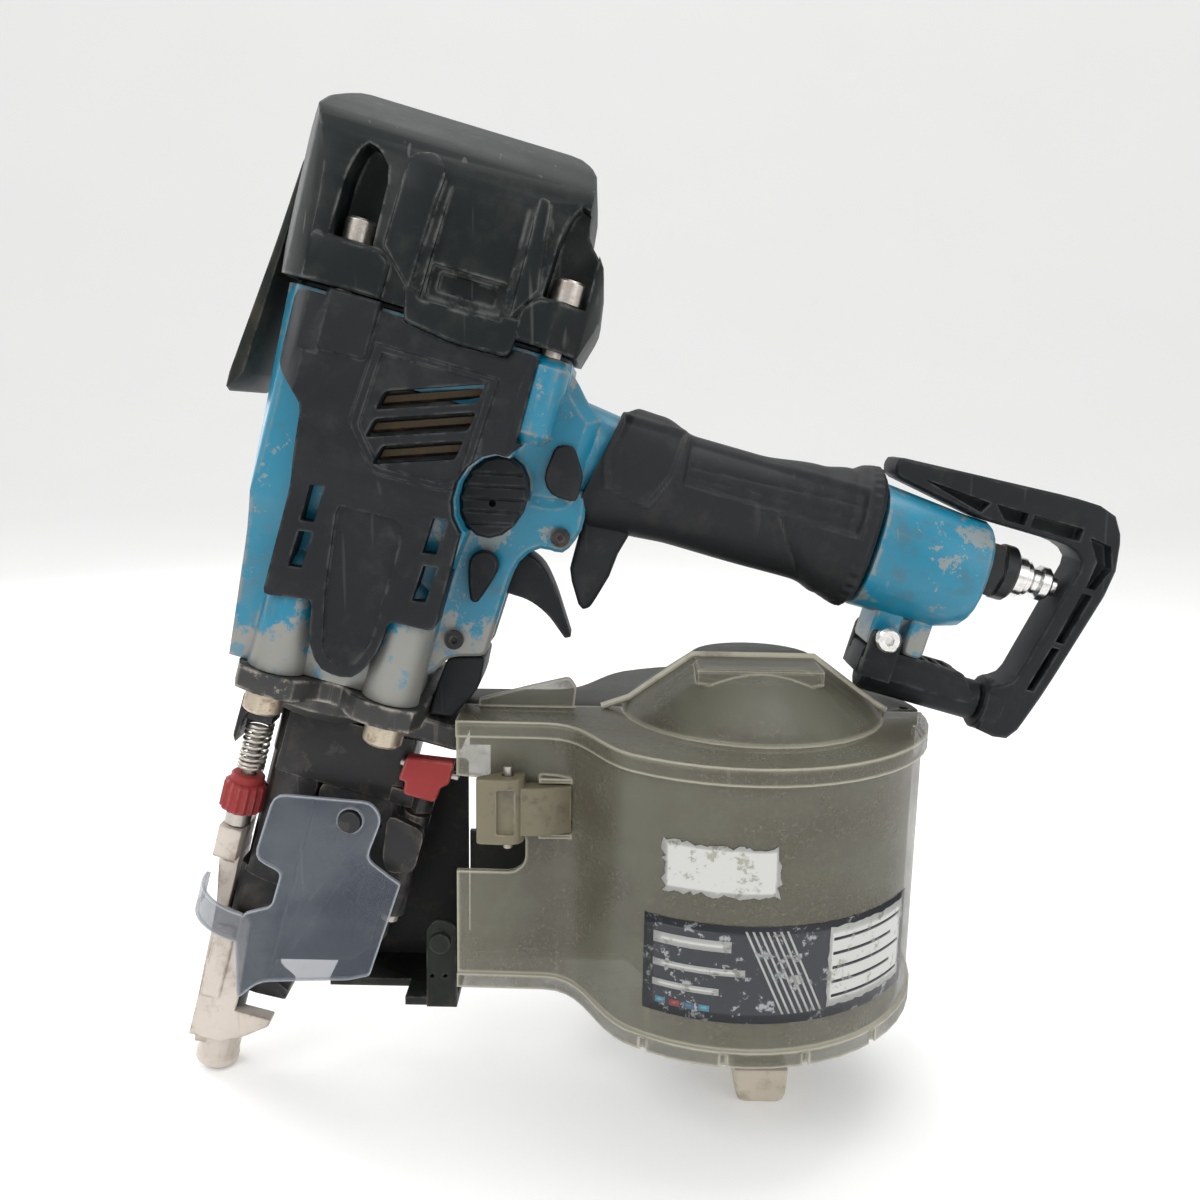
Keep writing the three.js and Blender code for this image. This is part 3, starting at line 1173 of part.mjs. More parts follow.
// ---- Assembly -----------------------------------------------------------------------------------
const driverPieces = [
  ["main_housing", mainHousing(), "blue_paint"],
  ["side_cover_near", sideCover(-1), "black_plastic"],
  ["side_cover_far", sideCover(1), "black_plastic"],
  ["top_cap", topCap(), "black_plastic"],
  ["cap_gasket", capGasket(), "rubber"],
  ["exhaust_deflector", exhaustDeflector(), "dark_steel"],
  ["cylinder_sleeve", cylinderSleeve(), "steel"],
  ["head_valve", headValve(), "black_plastic"],
  ["piston", piston(), "steel"],
  ["driver_blade", driverBlade(), "steel"],
  ["piston_bumper", pistonBumper(), "rubber"],
  ["nose_flange", noseFlange(), "cast_grey"],
  ["nose_guide", noseGuide(), "dark_steel"],
  ["spring_bracket", springBracket(), "dark_steel"],
  ["contact_arm", contactArm(), "white_steel"],
  ["contact_rod", contactRod(), "dark_steel"],
  ["depth_dial", depthDial(), "red_plastic"],
  ["contact_spring", spring(4.1, 18.4, 6.5, 0.65, [...CONTACT_ROD, 113.4]), "dark_steel"],
  ["feed_door", feedDoor(), "dark_steel"],
  ["door_hinge_pin", doorHingePin(), "steel"],
  ["door_latch", doorLatch(), "red_plastic"],
  ["door_latch_pin", doorLatchPin(), "steel"],
  ["clear_guard", clearGuard(), "clear_plastic"],
  ["guard_bolt", guardBolt([28.7, 112.5], 3.7), "dark_steel"],
  ["feed_cylinder", feedCylinder(), "cast_grey"],
  ["feed_pawl", feedPawl(), "steel"],
  ["trigger", trigger(), "black_plastic"],
  ["trigger_pin", triggerPin(), "steel"],
  ["trigger_valve", triggerValve(), "steel"],
  ["mode_lever", modeLever(), "black_plastic"],
  ["duster_button", dusterButton(), "black_plastic"],
  ["neck_pad_near", neckPad(-1), "rubber"],
  ["neck_pad_far", neckPad(1), "rubber"],
  ["bracket_screw_lower", bracketScrew([45.4, 178.5]), "dark_steel"],
  ["bracket_screw_upper", bracketScrew([69.6, 220]), "dark_steel"],
  ["link_cover", linkCover(), "black_plastic"],
  ["rubber_grip", rubberGrip(), "rubber"],
  ["handle_end_cap", handleEndCap(), "blue_paint"],
  ["plug_bushing", plugBushing(), "black_plastic"],
  ["air_plug", airPlug(), "chrome"],
  ["hook_tube", hookTube(), "black_plastic"],
  ["hook_screw", hookScrew(), "chrome"],
  ["hook_loop", hookLoop(), "black_plastic"],
];

const magazinePieces = [
  ["feed_channel", feedChannel(), "dark_steel"],
  ["magazine_body", magazineBody(), "grey_plastic"],
  ["magazine_cover", magazineCover(), "smoked_plastic"],
  ["magazine_hinge_pin", magazineHingePin(), "steel"],
  ["magazine_foot", magazineFoot(), "cream_plastic"],
  ["nail_support", nailSupport(), "grey_plastic"],
  ["cover_latch", coverLatch(), "cream_plastic"],
  ["cover_latch_pin", coverLatchPin(), "dark_steel"],
];

for (const [name, piece, finish] of driverPieces) add(driverFrame, name, piece, finish);
for (const [name, piece, finish] of magazinePieces) add(magazineFrame, name, piece, finish);
for (const [i, side] of [-1, 1].entries())
  for (const [j, [x, y]] of CAP_BOLTS.entries())
    add(
      driverFrame, `cap_bolt_${2 * i + j + 1}`, socketBolt(4.7, 6.8, 2.9, 34, [x, side * y, 288 + GAP]),
      "steel",
    );
for (const [i, side] of [-1, 1].entries())
  for (const [j, [x, y]] of FLANGE_BOLTS.entries())
    if (side < 0 || j === 0 || j === 1)
      add(driverFrame, `flange_bolt_${2 * i + j + 1}`, flangeBolt([x, side * y, 150 - GAP]), "steel");

// The frame's origin is on the ground below the middle of the whole tool.
const nailer = new THREE.Group();
nailer.add(driverFrame, magazineFrame);
const bounds = new THREE.Box3().setFromObject(nailer, true);
const centre = bounds.getCenter(new THREE.Vector3());
for (const frame of nailer.children) {
  frame.position.x -= centre.x;
  frame.position.y -= centre.y;
  frame.position.z -= bounds.min.z;
}

export default nailer;
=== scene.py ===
"""Coil framing nailer: finishes, light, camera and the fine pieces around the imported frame."""
import json
import math
import random

import bmesh
import bpy
from mathutils import Matrix, Vector


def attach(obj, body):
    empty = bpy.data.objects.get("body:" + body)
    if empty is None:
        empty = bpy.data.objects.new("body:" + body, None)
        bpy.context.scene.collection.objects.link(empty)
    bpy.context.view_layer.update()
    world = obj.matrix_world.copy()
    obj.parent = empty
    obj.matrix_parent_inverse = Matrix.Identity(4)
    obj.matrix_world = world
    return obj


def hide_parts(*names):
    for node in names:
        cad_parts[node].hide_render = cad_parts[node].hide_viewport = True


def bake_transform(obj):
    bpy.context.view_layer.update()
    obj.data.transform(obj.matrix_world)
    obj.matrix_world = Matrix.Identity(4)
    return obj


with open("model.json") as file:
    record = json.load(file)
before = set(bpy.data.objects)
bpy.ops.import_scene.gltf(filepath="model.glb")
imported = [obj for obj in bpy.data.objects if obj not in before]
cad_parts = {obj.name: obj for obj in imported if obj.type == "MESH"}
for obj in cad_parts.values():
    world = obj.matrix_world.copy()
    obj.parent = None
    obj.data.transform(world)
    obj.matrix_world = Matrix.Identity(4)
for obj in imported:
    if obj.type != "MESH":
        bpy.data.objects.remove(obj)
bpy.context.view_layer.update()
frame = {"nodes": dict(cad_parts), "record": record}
random.seed(7)

MM = 0.001
TILT = math.radians(15)  # driver axis against the vertical
NOSE = Vector((-0.1501488, 0, 0.00225))  # nose tip, origin of the driver's own axes
DRUM_X = 0.0342512  # drum axis
DRUM_R = 0.062
DRIVER = Matrix.Translation(NOSE) @ Matrix.Rotation(TILT, 4, "Y")  # driver axes to row frame, metres


def driver(x, y, z):
    """A point given in the driver's own axes, in millimetres, as a point of the row frame."""
    return DRIVER @ (Vector((x, y, z)) * MM)


# ---- Materials ----------------------------------------------------------------------------------
class Graph:
    """A small helper that adds shader nodes and links them."""

    def __init__(self, name):
        self.material = bpy.data.materials.new(name)
        self.material.use_nodes = True
        self.tree = self.material.node_tree
        self.tree.nodes.clear()
        self.out = self.add("ShaderNodeOutputMaterial")
        self.coord = self.add("ShaderNodeTexCoord").outputs["Object"]

    def add(self, kind, **settings):
        node = self.tree.nodes.new(kind)
        for key, value in settings.items():
            setattr(node, key, value)
        return node

    def put(self, socket, value):
        if isinstance(value, bpy.types.NodeSocket):
            self.tree.links.new(value, socket)
        else:
            socket.default_value = value

    def noise(self, scale, detail=4.0, stretch=None, rough=0.55, shift=0.0, turn=(0, 0, 0)):
        place = self.add("ShaderNodeMapping")
        self.put(place.inputs["Vector"], self.coord)
        place.inputs["Rotation"].default_value = turn
        place.inputs["Location"].default_value = (shift, shift * 0.7, shift * 1.3)
        if stretch:
            place.inputs["Scale"].default_value = stretch
        node = self.add("ShaderNodeTexNoise")
        self.put(node.inputs["Vector"], place.outputs["Vector"])
        node.inputs["Scale"].default_value = scale
        node.inputs["Detail"].default_value = detail
        node.inputs["Roughness"].default_value = rough
        return node.outputs["Fac"]

    def ramp(self, value, low, high, to_low=0.0, to_high=1.0):
        node = self.add("ShaderNodeMapRange", interpolation_type="SMOOTHSTEP")
        self.put(node.inputs["Value"], value)
        node.inputs["From Min"].default_value = low
        node.inputs["From Max"].default_value = high
        node.inputs["To Min"].default_value = to_low
        node.inputs["To Max"].default_value = to_high
        return node.outputs["Result"]

    def math(self, operation, a, b=0.0):
        node = self.add("ShaderNodeMath", operation=operation)
        self.put(node.inputs[0], a)
        self.put(node.inputs[1], b)
        node.use_clamp = operation in {"ADD", "MULTIPLY"}
        return node.outputs[0]

    def mix(self, factor, a, b):
        node = self.add("ShaderNodeMix", data_type="RGBA")
        self.put(node.inputs["Factor"], factor)
        self.put(node.inputs["A"], a if isinstance(a, bpy.types.NodeSocket) else (*a, 1))
        self.put(node.inputs["B"], b if isinstance(b, bpy.types.NodeSocket) else (*b, 1))
        return node.outputs["Result"]

    def edges(self, radius, low=0.90, high=0.9995):
        """1 along convex and concave edges, 0 on flat ground."""
        rounded = self.add("ShaderNodeBevel", samples=6)
        rounded.inputs["Radius"].default_value = radius
        plain = self.add("ShaderNodeNewGeometry")
        dot = self.add("ShaderNodeVectorMath", operation="DOT_PRODUCT")
        self.put(dot.inputs[0], rounded.outputs["Normal"])
        self.put(dot.inputs[1], plain.outputs["True Normal"])
        return self.ramp(dot.outputs["Value"], low, high, 1.0, 0.0)

    def normal(self, height, distance, strength=1.0, round_radius=0.0004):
        rounded = self.add("ShaderNodeBevel", samples=6)
        rounded.inputs["Radius"].default_value = round_radius
        node = self.add("ShaderNodeBump")
        self.put(node.inputs["Height"], height)
        node.inputs["Distance"].default_value = distance
        node.inputs["Strength"].default_value = strength
        self.put(node.inputs["Normal"], rounded.outputs["Normal"])
        return node.outputs["Normal"]

    def shader(self, color, rough, metallic=0.0, normal=None, **constants):
        node = self.add("ShaderNodeBsdfPrincipled")
        self.put(node.inputs["Base Color"], color)
        self.put(node.inputs["Roughness"], rough)
        self.put(node.inputs["Metallic"], metallic)
        if normal is not None:
            self.put(node.inputs["Normal"], normal)
        for key, value in constants.items():
            self.put(node.inputs[key], value)
        self.tree.links.new(node.outputs["BSDF"], self.out.inputs["Surface"])
        return node


def lighter(color, factor):
    return tuple(min(1.0, c * factor) for c in color)


def worn(name, base, rough, metallic=0.0, wear=(0.5, 0.5, 0.48), wear_amount=0.5, wear_width=0.0009,
         dirt=(0.05, 0.045, 0.035), dirt_amount=0.25, scratches=0.25, grain=900, grain_depth=0.00004,
         patches=0.0, wear_metallic=None, wear_rough=None, variation=0.18, bare=None, **constants):
    """Paint, plastic or metal with uneven colour, chipped or rubbed edges, dirt, fine scratches and grain.

    bare gives two heights, in metres, between which the coat wears off towards the bottom.
    """
    g = Graph(name)
    broad = g.noise(26, 5, shift=1.0)
    middle = g.noise(140, 6, rough=0.65, shift=3.0)
    fine = g.noise(grain, 3, shift=5.0)
    color = g.mix(broad, lighter(base, 1 - variation), lighter(base, 1 + variation))
    stains = g.math("MULTIPLY", g.noise(45, 6, rough=0.7, shift=9.0), g.math("ADD", middle, 0.25))
    grime = g.ramp(stains, 0.38, 0.56, 0.0, dirt_amount)
    color = g.mix(grime, color, dirt)
    lines = g.ramp(g.noise(330, 1, stretch=(1.0, 1.0, 0.045), shift=2.0, turn=(0.3, 0.9, 0.2)), 0.72, 0.78)
    cross = g.ramp(g.noise(290, 1, stretch=(1.0, 1.0, 0.06), shift=7.0, turn=(0.2, -0.7, 0.5)), 0.72, 0.78)
    marks = g.math("MULTIPLY", g.math("MAXIMUM", lines, cross), g.math("MULTIPLY", broad, scratches))
    color = g.mix(marks, color, wear)
    rubbed = g.math("MULTIPLY", g.edges(wear_width), g.ramp(middle, 0.42, 0.60))
    rubbed = g.math("MULTIPLY", rubbed, wear_amount)
    if bare:
        low, high = bare
        place = g.add("ShaderNodeSeparateXYZ")
        g.put(place.inputs[0], g.coord)
        ragged = g.math("MULTIPLY", g.noise(70, 9, rough=0.74, shift=31.0), 0.066)
        stripped = g.ramp(g.math("SUBTRACT", place.outputs["Z"], ragged), low, high, 1.0, 0.0)
        stripped = g.math("MULTIPLY", stripped, g.ramp(middle, 0.36, 0.44, 0.35, 0.95))
        rubbed = g.math("MAXIMUM", rubbed, stripped)
    if patches:
        spots = g.ramp(g.noise(62, 9, rough=0.74, shift=12.0), 0.575, 0.60, 0.0, patches)
        rubbed = g.math("MAXIMUM", rubbed, spots)
    color = g.mix(rubbed, color, wear)
    roughness = g.math("ADD", rough - 0.08, g.math("MULTIPLY", middle, 0.2))
    if wear_rough is not None:
        roughness = g.math("ADD", roughness, g.math("MULTIPLY", rubbed, wear_rough - rough))
    metal = metallic
    if wear_metallic is not None:
        metal = g.math("ADD", g.math("MULTIPLY", rubbed, wear_metallic - metallic), metallic)
    coat = g.math("MULTIPLY", g.math("SUBTRACT", 1.0, rubbed), 0.3)
    height = g.math("ADD", g.math("MULTIPLY", fine, 0.7), coat)
    g.shader(color, roughness, metal, g.normal(height, grain_depth), **constants)
    return g.material


def brushed(name, base, rough, direction=(1, 1, 12), rust=0.0):
    """Bare metal with a fine brushed grain and, where rust is above 0, brown patches."""
    g = Graph(name)
    strokes = g.noise(420, 3, stretch=direction, shift=4.0)
    broad = g.noise(60, 5, shift=2.0)
    color = g.mix(strokes, lighter(base, 0.75), lighter(base, 1.2))
    brown = g.ramp(g.noise(190, 6, rough=0.7, shift=8.0), 0.50, 0.66, 0.0, rust)
    color = g.mix(brown, color, (0.20, 0.11, 0.05))
    color = g.mix(g.math("MULTIPLY", g.edges(0.0007), 0.5), color, lighter(base, 1.5))
    roughness = g.math("ADD", rough - 0.1, g.math("MULTIPLY", strokes, 0.2))
    roughness = g.math("ADD", roughness, g.math("MULTIPLY", brown, 0.4))
    metal = g.math("SUBTRACT", 1.0, g.math("MULTIPLY", brown, 0.9))
    height = g.math("ADD", strokes, g.math("MULTIPLY", broad, 0.2))
    g.shader(color, roughness, metal, g.normal(height, 0.00003))
    return g.material


def clouded(name, base, stain, edge, clear, stained, rough, stain_amount=0.6):
    """Translucent plastic: scuffed, stained and paler along its edges."""
    g = Graph(name)
    broad = g.noise(22, 6, rough=0.62, shift=2.0)
    smear = g.noise(34, 5, stretch=(0.5, 0.5, 2.6), shift=6.0)
    fine = g.noise(420, 4, shift=3.0)
    blotch = g.ramp(g.math("MULTIPLY", broad, g.math("ADD", smear, 0.45)), 0.36, 0.62, 0.0, stain_amount)
    color = g.mix(blotch, base, stain)
    dust = g.ramp(g.noise(900, 5, rough=0.7, shift=14.0), 0.50, 0.72, 0.0, 0.22)
    color = g.mix(dust, color, lighter(edge, 0.8))
    rim = g.edges(0.0016, 0.86, 0.999)
    color = g.mix(g.math("MULTIPLY", rim, 0.75), color, edge)
    lines = g.noise(300, 1, stretch=(1.0, 1.0, 0.05), shift=21.0, turn=(0.2, 0.8, 0.3))
    streak = g.ramp(lines, 0.72, 0.78, 0.0, 0.10)
    color = g.mix(streak, color, edge)
    cover = g.math("MAXIMUM", g.ramp(blotch, 0.0, 1.0, clear, stained), g.math("MULTIPLY", rim, 0.92))
    roughness = g.math("ADD", rough, g.math("MULTIPLY", smear, 0.25))
    g.shader(color, roughness, 0.0, g.normal(fine, 0.00003, 0.7), Alpha=cover)
    return g.material


def label_finish(name, kind):
    """One flat print colour, white, dark or the given tint, scuffed away in places."""
    g = Graph(name)
    worn_off = g.ramp(g.noise(150, 8, rough=0.75, shift=17.0), 0.56, 0.60)
    dark, pale = (0.020, 0.022, 0.029), (0.50, 0.50, 0.48)
    if kind == "white":
        color = g.mix(worn_off, pale, (0.30, 0.30, 0.25))
    elif kind == "dark":
        color = g.mix(g.math("MULTIPLY", worn_off, 0.8), dark, (0.34, 0.35, 0.36))
    else:
        color = g.mix(g.math("MULTIPLY", worn_off, 0.6), kind, (0.12, 0.12, 0.13))
    fine = g.noise(700, 3)
    g.shader(color, 0.42, 0.0, g.normal(fine, 0.00002, 0.6))
    return g.material


BLUE = (0.001, 0.165, 0.265)
PLASTIC = {"Specular IOR Level": 0.20}
finishes = {
    "blue_paint": worn(
        "blue_paint", BLUE, 0.38, 0.0, wear=(0.27, 0.26, 0.235), wear_amount=0.95, wear_width=0.0020,
        patches=0.75, wear_metallic=0.55, wear_rough=0.55, grain=700, grain_depth=0.00006, dirt_amount=0.35,
        scratches=0.5, bare=(0.132, 0.137), **{"Coat Weight": 0.15, "Coat Roughness": 0.3},
    ),
    "black_plastic": worn(
        "black_plastic", (0.0095, 0.0112, 0.0132), 0.50, wear=(0.085, 0.088, 0.088), wear_amount=0.55,
        wear_width=0.0012, grain=1300, dirt=(0.034, 0.032, 0.028), dirt_amount=0.35, scratches=0.35,
        variation=0.35, **PLASTIC,
    ),
    "cap_plastic": worn(
        "cap_plastic", (0.0045, 0.0072, 0.0072), 0.46, wear=(0.16, 0.165, 0.155), wear_amount=0.55,
        wear_width=0.0014, grain=1200, dirt=(0.020, 0.024, 0.022), dirt_amount=0.4, scratches=0.5,
        variation=0.35, **PLASTIC,
    ),
    "dark_plastic": worn(
        "dark_plastic", (0.010, 0.0125, 0.0105), 0.5, wear=(0.11, 0.10, 0.08), wear_amount=0.5,
        dirt=(0.055, 0.046, 0.032), dirt_amount=0.4, **PLASTIC,
    ),
    "rubber": worn(
        "rubber", (0.0072, 0.0080, 0.0094), 0.56, wear=(0.06, 0.06, 0.062), wear_amount=0.45,
        wear_width=0.0010, grain=1600, grain_depth=0.00005, dirt=(0.032, 0.032, 0.032), dirt_amount=0.35,
        scratches=0.3, variation=0.3, **{"Specular IOR Level": 0.30},
    ),
    "cast_grey": worn(
        "cast_grey", (0.040, 0.040, 0.040), 0.5, 0.5, wear=(0.40, 0.37, 0.32), wear_amount=0.9,
        wear_width=0.0018, patches=0.45, wear_metallic=0.8, grain=650, grain_depth=0.00008, dirt_amount=0.4,
    ),
    "sleeve_aluminium": brushed("sleeve_aluminium", (0.50, 0.50, 0.50), 0.3),
    "steel": brushed("steel", (0.46, 0.43, 0.39), 0.34, rust=0.4),
    "rusty_steel": brushed("rusty_steel", (0.48, 0.42, 0.33), 0.42, rust=0.75),
    "dark_steel": worn(
        "dark_steel", (0.0105, 0.011, 0.0125), 0.40, 0.35, wear=(0.20, 0.17, 0.135), wear_amount=0.8,
        wear_width=0.0008, patches=0.12, wear_metallic=0.8, dirt=(0.06, 0.042, 0.026), dirt_amount=0.35,
    ),
    "chrome": brushed("chrome", (0.70, 0.69, 0.67), 0.18, rust=0.15),
    "white_steel": worn(
        "white_steel", (0.58, 0.52, 0.46), 0.42, 0.2, wear=(0.26, 0.20, 0.15), wear_amount=0.7,
        wear_width=0.0012, dirt=(0.20, 0.14, 0.09), dirt_amount=0.5, scratches=0.4, patches=0.1,
    ),
    "red_plastic": worn(
        "red_plastic", (0.26, 0.030, 0.030), 0.5, wear=(0.42, 0.22, 0.19), wear_amount=0.6,
        dirt=(0.06, 0.022, 0.02), dirt_amount=0.5, **PLASTIC,
    ),
    "clear_plastic": clouded(
        "clear_plastic", (0.050, 0.064, 0.090), (0.14, 0.155, 0.18), (0.50, 0.54, 0.58), 0.46, 0.62, 0.2,
        0.5,
    ),
    "smoked_plastic": clouded(
        "smoked_plastic", (0.150, 0.146, 0.108), (0.066, 0.056, 0.038), (0.52, 0.49, 0.39), 0.56, 0.80,
        0.22, 0.8,
    ),
    "grey_plastic": worn(
        "grey_plastic", (0.024, 0.025, 0.022), 0.46, wear=(0.14, 0.13, 0.11), wear_amount=0.6,
        wear_width=0.0014, dirt=(0.06, 0.048, 0.030), dirt_amount=0.4, **PLASTIC,
    ),
    "cream_plastic": worn(
        "cream_plastic", (0.56, 0.50, 0.41), 0.45, wear=(0.70, 0.66, 0.58), wear_amount=0.5,
        dirt=(0.22, 0.16, 0.10), dirt_amount=0.6, variation=0.25,
    ),
}


# ---- CAD nodes: finish, small bevels and smooth shading ------------------------------------------
def shading_group():
    """Smooth faces, sharp only where two faces meet at more than the given angle."""
    group = bpy.data.node_groups.new("shade_by_angle", "GeometryNodeTree")
    group.interface.new_socket("Geometry", in_out="INPUT", socket_type="NodeSocketGeometry")
    group.interface.new_socket("Geometry", in_out="OUTPUT", socket_type="NodeSocketGeometry")
    source = group.nodes.new("NodeGroupInput")
    target = group.nodes.new("NodeGroupOutput")
    faces = group.nodes.new("GeometryNodeSetShadeSmooth")
    faces.domain = "FACE"
    edges = group.nodes.new("GeometryNodeSetShadeSmooth")
    edges.domain = "EDGE"
    angle = group.nodes.new("GeometryNodeInputMeshEdgeAngle")
    below = group.nodes.new("FunctionNodeCompare")
    below.data_type = "FLOAT"
    below.operation = "LESS_THAN"
    below.inputs[1].default_value = math.radians(34)
    links = group.links
    links.new(source.outputs[0], faces.inputs["Geometry"])
    links.new(faces.outputs["Geometry"], edges.inputs["Geometry"])
    links.new(angle.outputs["Unsigned Angle"], below.inputs[0])
    links.new(below.outputs[0], edges.inputs["Shade Smooth"])
    links.new(edges.outputs["Geometry"], target.inputs[0])
    return group


SHADING = shading_group()
BEVELS = {  # bevel widths in millimetres
    "main_housing": 0.5, "side_cover_near": 0.4, "side_cover_far": 0.4, "top_cap": 0.6, "rubber_grip": 0.4,
    "handle_end_cap": 0.5, "nose_flange": 0.5, "nose_guide": 0.4, "contact_arm": 0.25, "feed_door": 0.3,
    "door_latch": 0.35, "hook_loop": 0.45, "hook_tube": 0.35, "magazine_body": 0.3, "magazine_cover": 0.3,
    "magazine_foot": 0.5, "cover_latch": 0.3, "trigger": 0.35, "exhaust_deflector": 0.3, "link_cover": 0.4,
    "feed_channel": 0.3,
}


def smooth_shading(piece):
    modifier = piece.modifiers.new("shading", "NODES")
    modifier.node_group = SHADING


OLIVE = worn(
    "olive_plastic", (0.150, 0.132, 0.082), 0.45, wear=(0.34, 0.30, 0.22), wear_amount=0.6,
    dirt=(0.035, 0.028, 0.018), dirt_amount=0.6, variation=0.25,
)


def dress(node, piece, slot):
    piece.data.materials.clear()
    piece.data.materials.append(OLIVE if node == "cover_latch" else finishes[slot])
    weld = piece.modifiers.new("weld", "WELD")
    weld.merge_threshold = 0.00001
    if node in BEVELS:
        flat = piece.modifiers.new("flat", "DECIMATE")
        flat.decimate_type = "DISSOLVE"
        flat.angle_limit = math.radians(0.4)
        bevel = piece.modifiers.new("bevel", "BEVEL")
        bevel.width = BEVELS[node] * MM
        bevel.segments = 2
        bevel.limit_method = "ANGLE"
        bevel.angle_limit = math.radians(34)
        bevel.use_clamp_overlap = True
    smooth_shading(piece)


slots = {entry["node"]: entry["material_slot"] for entry in frame["record"]["subparts"]}
for node_name, node_object in frame["nodes"].items():
    dress(node_name, node_object, slots[node_name])


# ---- New pieces ---------------------------------------------------------------------------------
def piece_from(name, verts, faces, material, body, smooth=True):
    mesh = bpy.data.meshes.new(name)
    mesh.from_pydata([tuple(v) for v in verts], [], faces)
    mesh.update()
    tidy = bmesh.new()
    tidy.from_mesh(mesh)
    bmesh.ops.recalc_face_normals(tidy, faces=tidy.faces)
    tidy.to_mesh(mesh)
    tidy.free()
    mesh.materials.append(material)
    piece = bpy.data.objects.new(name, mesh)
    bpy.context.scene.collection.objects.link(piece)
    if body:
        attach(piece, body)
    if smooth:
        smooth_shading(piece)
    return piece


def sweep(points, radius, sides=10):
    """A round wire along points, closed at both ends."""
    verts, faces = [], []
    for i, point in enumerate(points):
        before, after = points[max(i - 1, 0)], points[min(i + 1, len(points) - 1)]
        tangent = (after - before).normalized()
        across = tangent.cross(Vector((0, 1, 0.01))).normalized()
        other = tangent.cross(across)
        for k in range(sides):
            angle = 2 * math.pi * k / sides
            verts.append(point + radius * (math.cos(angle) * across + math.sin(angle) * other))
    for i in range(len(points) - 1):
        for k in range(sides):
            a, b = i * sides + k, i * sides + (k + 1) % sides
            faces.append((a, b, b + sides, a + sides))
    faces.append(tuple(range(sides)))
    last = (len(points) - 1) * sides
    faces.append(tuple(last + k for k in range(sides)))
    return verts, faces


def contact_spring():
    """The fine coil spring over the contact rod, with closed end turns."""
    low, high, radius, wire = 113.6, 131.6, 4.1, 0.62
    turns, steps = 9.5, 300
    points = []
    for i in range(steps + 1):
        t = i / steps
        ease = t - 0.055 * math.sin(2 * math.pi * t)
        angle = 2 * math.pi * turns * t
        z = low + wire + (high - low - 2 * wire) * ease
        points.append(driver(-10.8 + radius * math.cos(angle), -7.5 + radius * math.sin(angle), z))
    verts, faces = sweep(points, wire * MM, 8)
    spring = piece_from("contact_spring_coil", verts, faces, finishes["steel"], None)
    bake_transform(spring)
    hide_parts("contact_spring")


def drum_patch(name, a0, a1, z0, z1, lift, material, body="cover",
               skew=0.0, ragged=0.0, steps=24, rows=10):
    """A thin curved sheet on the drum's wall, between two angles and two heights.

    Angles are in degrees, 0 along +X and -90 nearest the camera. Heights and the lift are in millimetres.
    """
    radius = DRUM_R + lift * MM
    verts, faces = [], []
    for j in range(rows + 1):
        for i in range(steps + 1):
            s, t = i / steps, j / rows
            angle = math.radians(a0 + (a1 - a0) * s + skew * (t - 0.5))
            height = z0 + (z1 - z0) * t
            if ragged and (i in (0, steps) or j in (0, rows)):
                angle += math.radians(random.uniform(-ragged, ragged))
                height += random.uniform(-ragged, ragged)
            verts.append(Vector((DRUM_X + radius * math.cos(angle), radius * math.sin(angle), height * MM)))
    for j in range(rows):
        for i in range(steps):
            a = j * (steps + 1) + i
            faces.append((a, a + 1, a + steps + 2, a + steps + 1))
    patch = piece_from(name, verts, faces, material, body)
    solid = patch.modifiers.new("thickness", "SOLIDIFY")
    solid.thickness = 0.00008
    solid.offset = 1
    return patch


def labels():
    """Plain labels on the near wall: a torn white one, and a dark one with stripes, bars and a table."""
    white = label_finish("label_white", "white")
    dark = label_finish("label_dark", "dark")
    drum_patch("label_torn", -115.6, -83.6, 97, 112.4, 0.10, white, ragged=0.9)
    drum_patch("label_base", -121, -33, 57, 88, 0.10, dark)
    for i in range(7):
        start = -87 + 1.9 * i
        drum_patch(f"label_stripe_{i}", start, start + 0.7, 60, 86.5, 0.18, white, skew=-11, steps=2)
    drum_patch("label_table", -68, -36, 60.5, 86, 0.18, white, ragged=0.3)
    for j in range(5):
        end, low = -37.5 - 5 * (j % 2), 63.2 + 4.6 * j
        drum_patch(f"label_row_{j}", -66.5, end, low, low + 0.9, 0.26, dark, steps=10, rows=1)
    bars = ((-118, -96, 79.5, 83), (-118, -92, 72, 74.2), (-118, -99, 65.5, 67.7))
    for j, (a0, a1, z0, z1) in enumerate(bars):
        drum_patch(f"label_bar_{j}", a0, a1, z0, z1, 0.18, white, steps=8, rows=2)
    colors = [(0.12, 0.30, 0.40), (0.32, 0.08, 0.08), (0.08, 0.20, 0.34)]
    for i in range(4):
        tint = label_finish(f"label_tint_{i}", colors[i % 3])
        drum_patch(f"label_dash_{i}", -117 + 4.2 * i, -114 + 4.2 * i, 60, 62, 0.18, tint, steps=3, rows=2)


def seam_rim():
    """The pale moulded edge of the opening half, along the flat front face of its dome."""
    pale = worn(
        "seam_plastic", (0.42, 0.40, 0.31), 0.36, wear=(0.60, 0.58, 0.48), dirt=(0.06, 0.05, 0.035),
        dirt_amount=0.5,
    )
    corners = [(-46, 137.6), (-36.5, 141), (-15.5, 156.2), (25.5, 156.2), (46, 141), (51, 138)]
    seam_y, steps = -0.0022, 8
    points = []
    for (x0, z0), (x1, z1) in zip(corners, corners[1:]):
        for k in range(steps):
            x, z = x0 + (x1 - x0) * k / steps, z0 + (z1 - z0) * k / steps
            points.append(Vector((x * MM + DRUM_X, seam_y, z * MM)))
    points.append(Vector((corners[-1][0] * MM + DRUM_X, seam_y, corners[-1][1] * MM)))
    verts, faces = sweep(points, 1.25 * MM, 10)
    piece_from("seam_rim", verts, faces, pale, "cover")


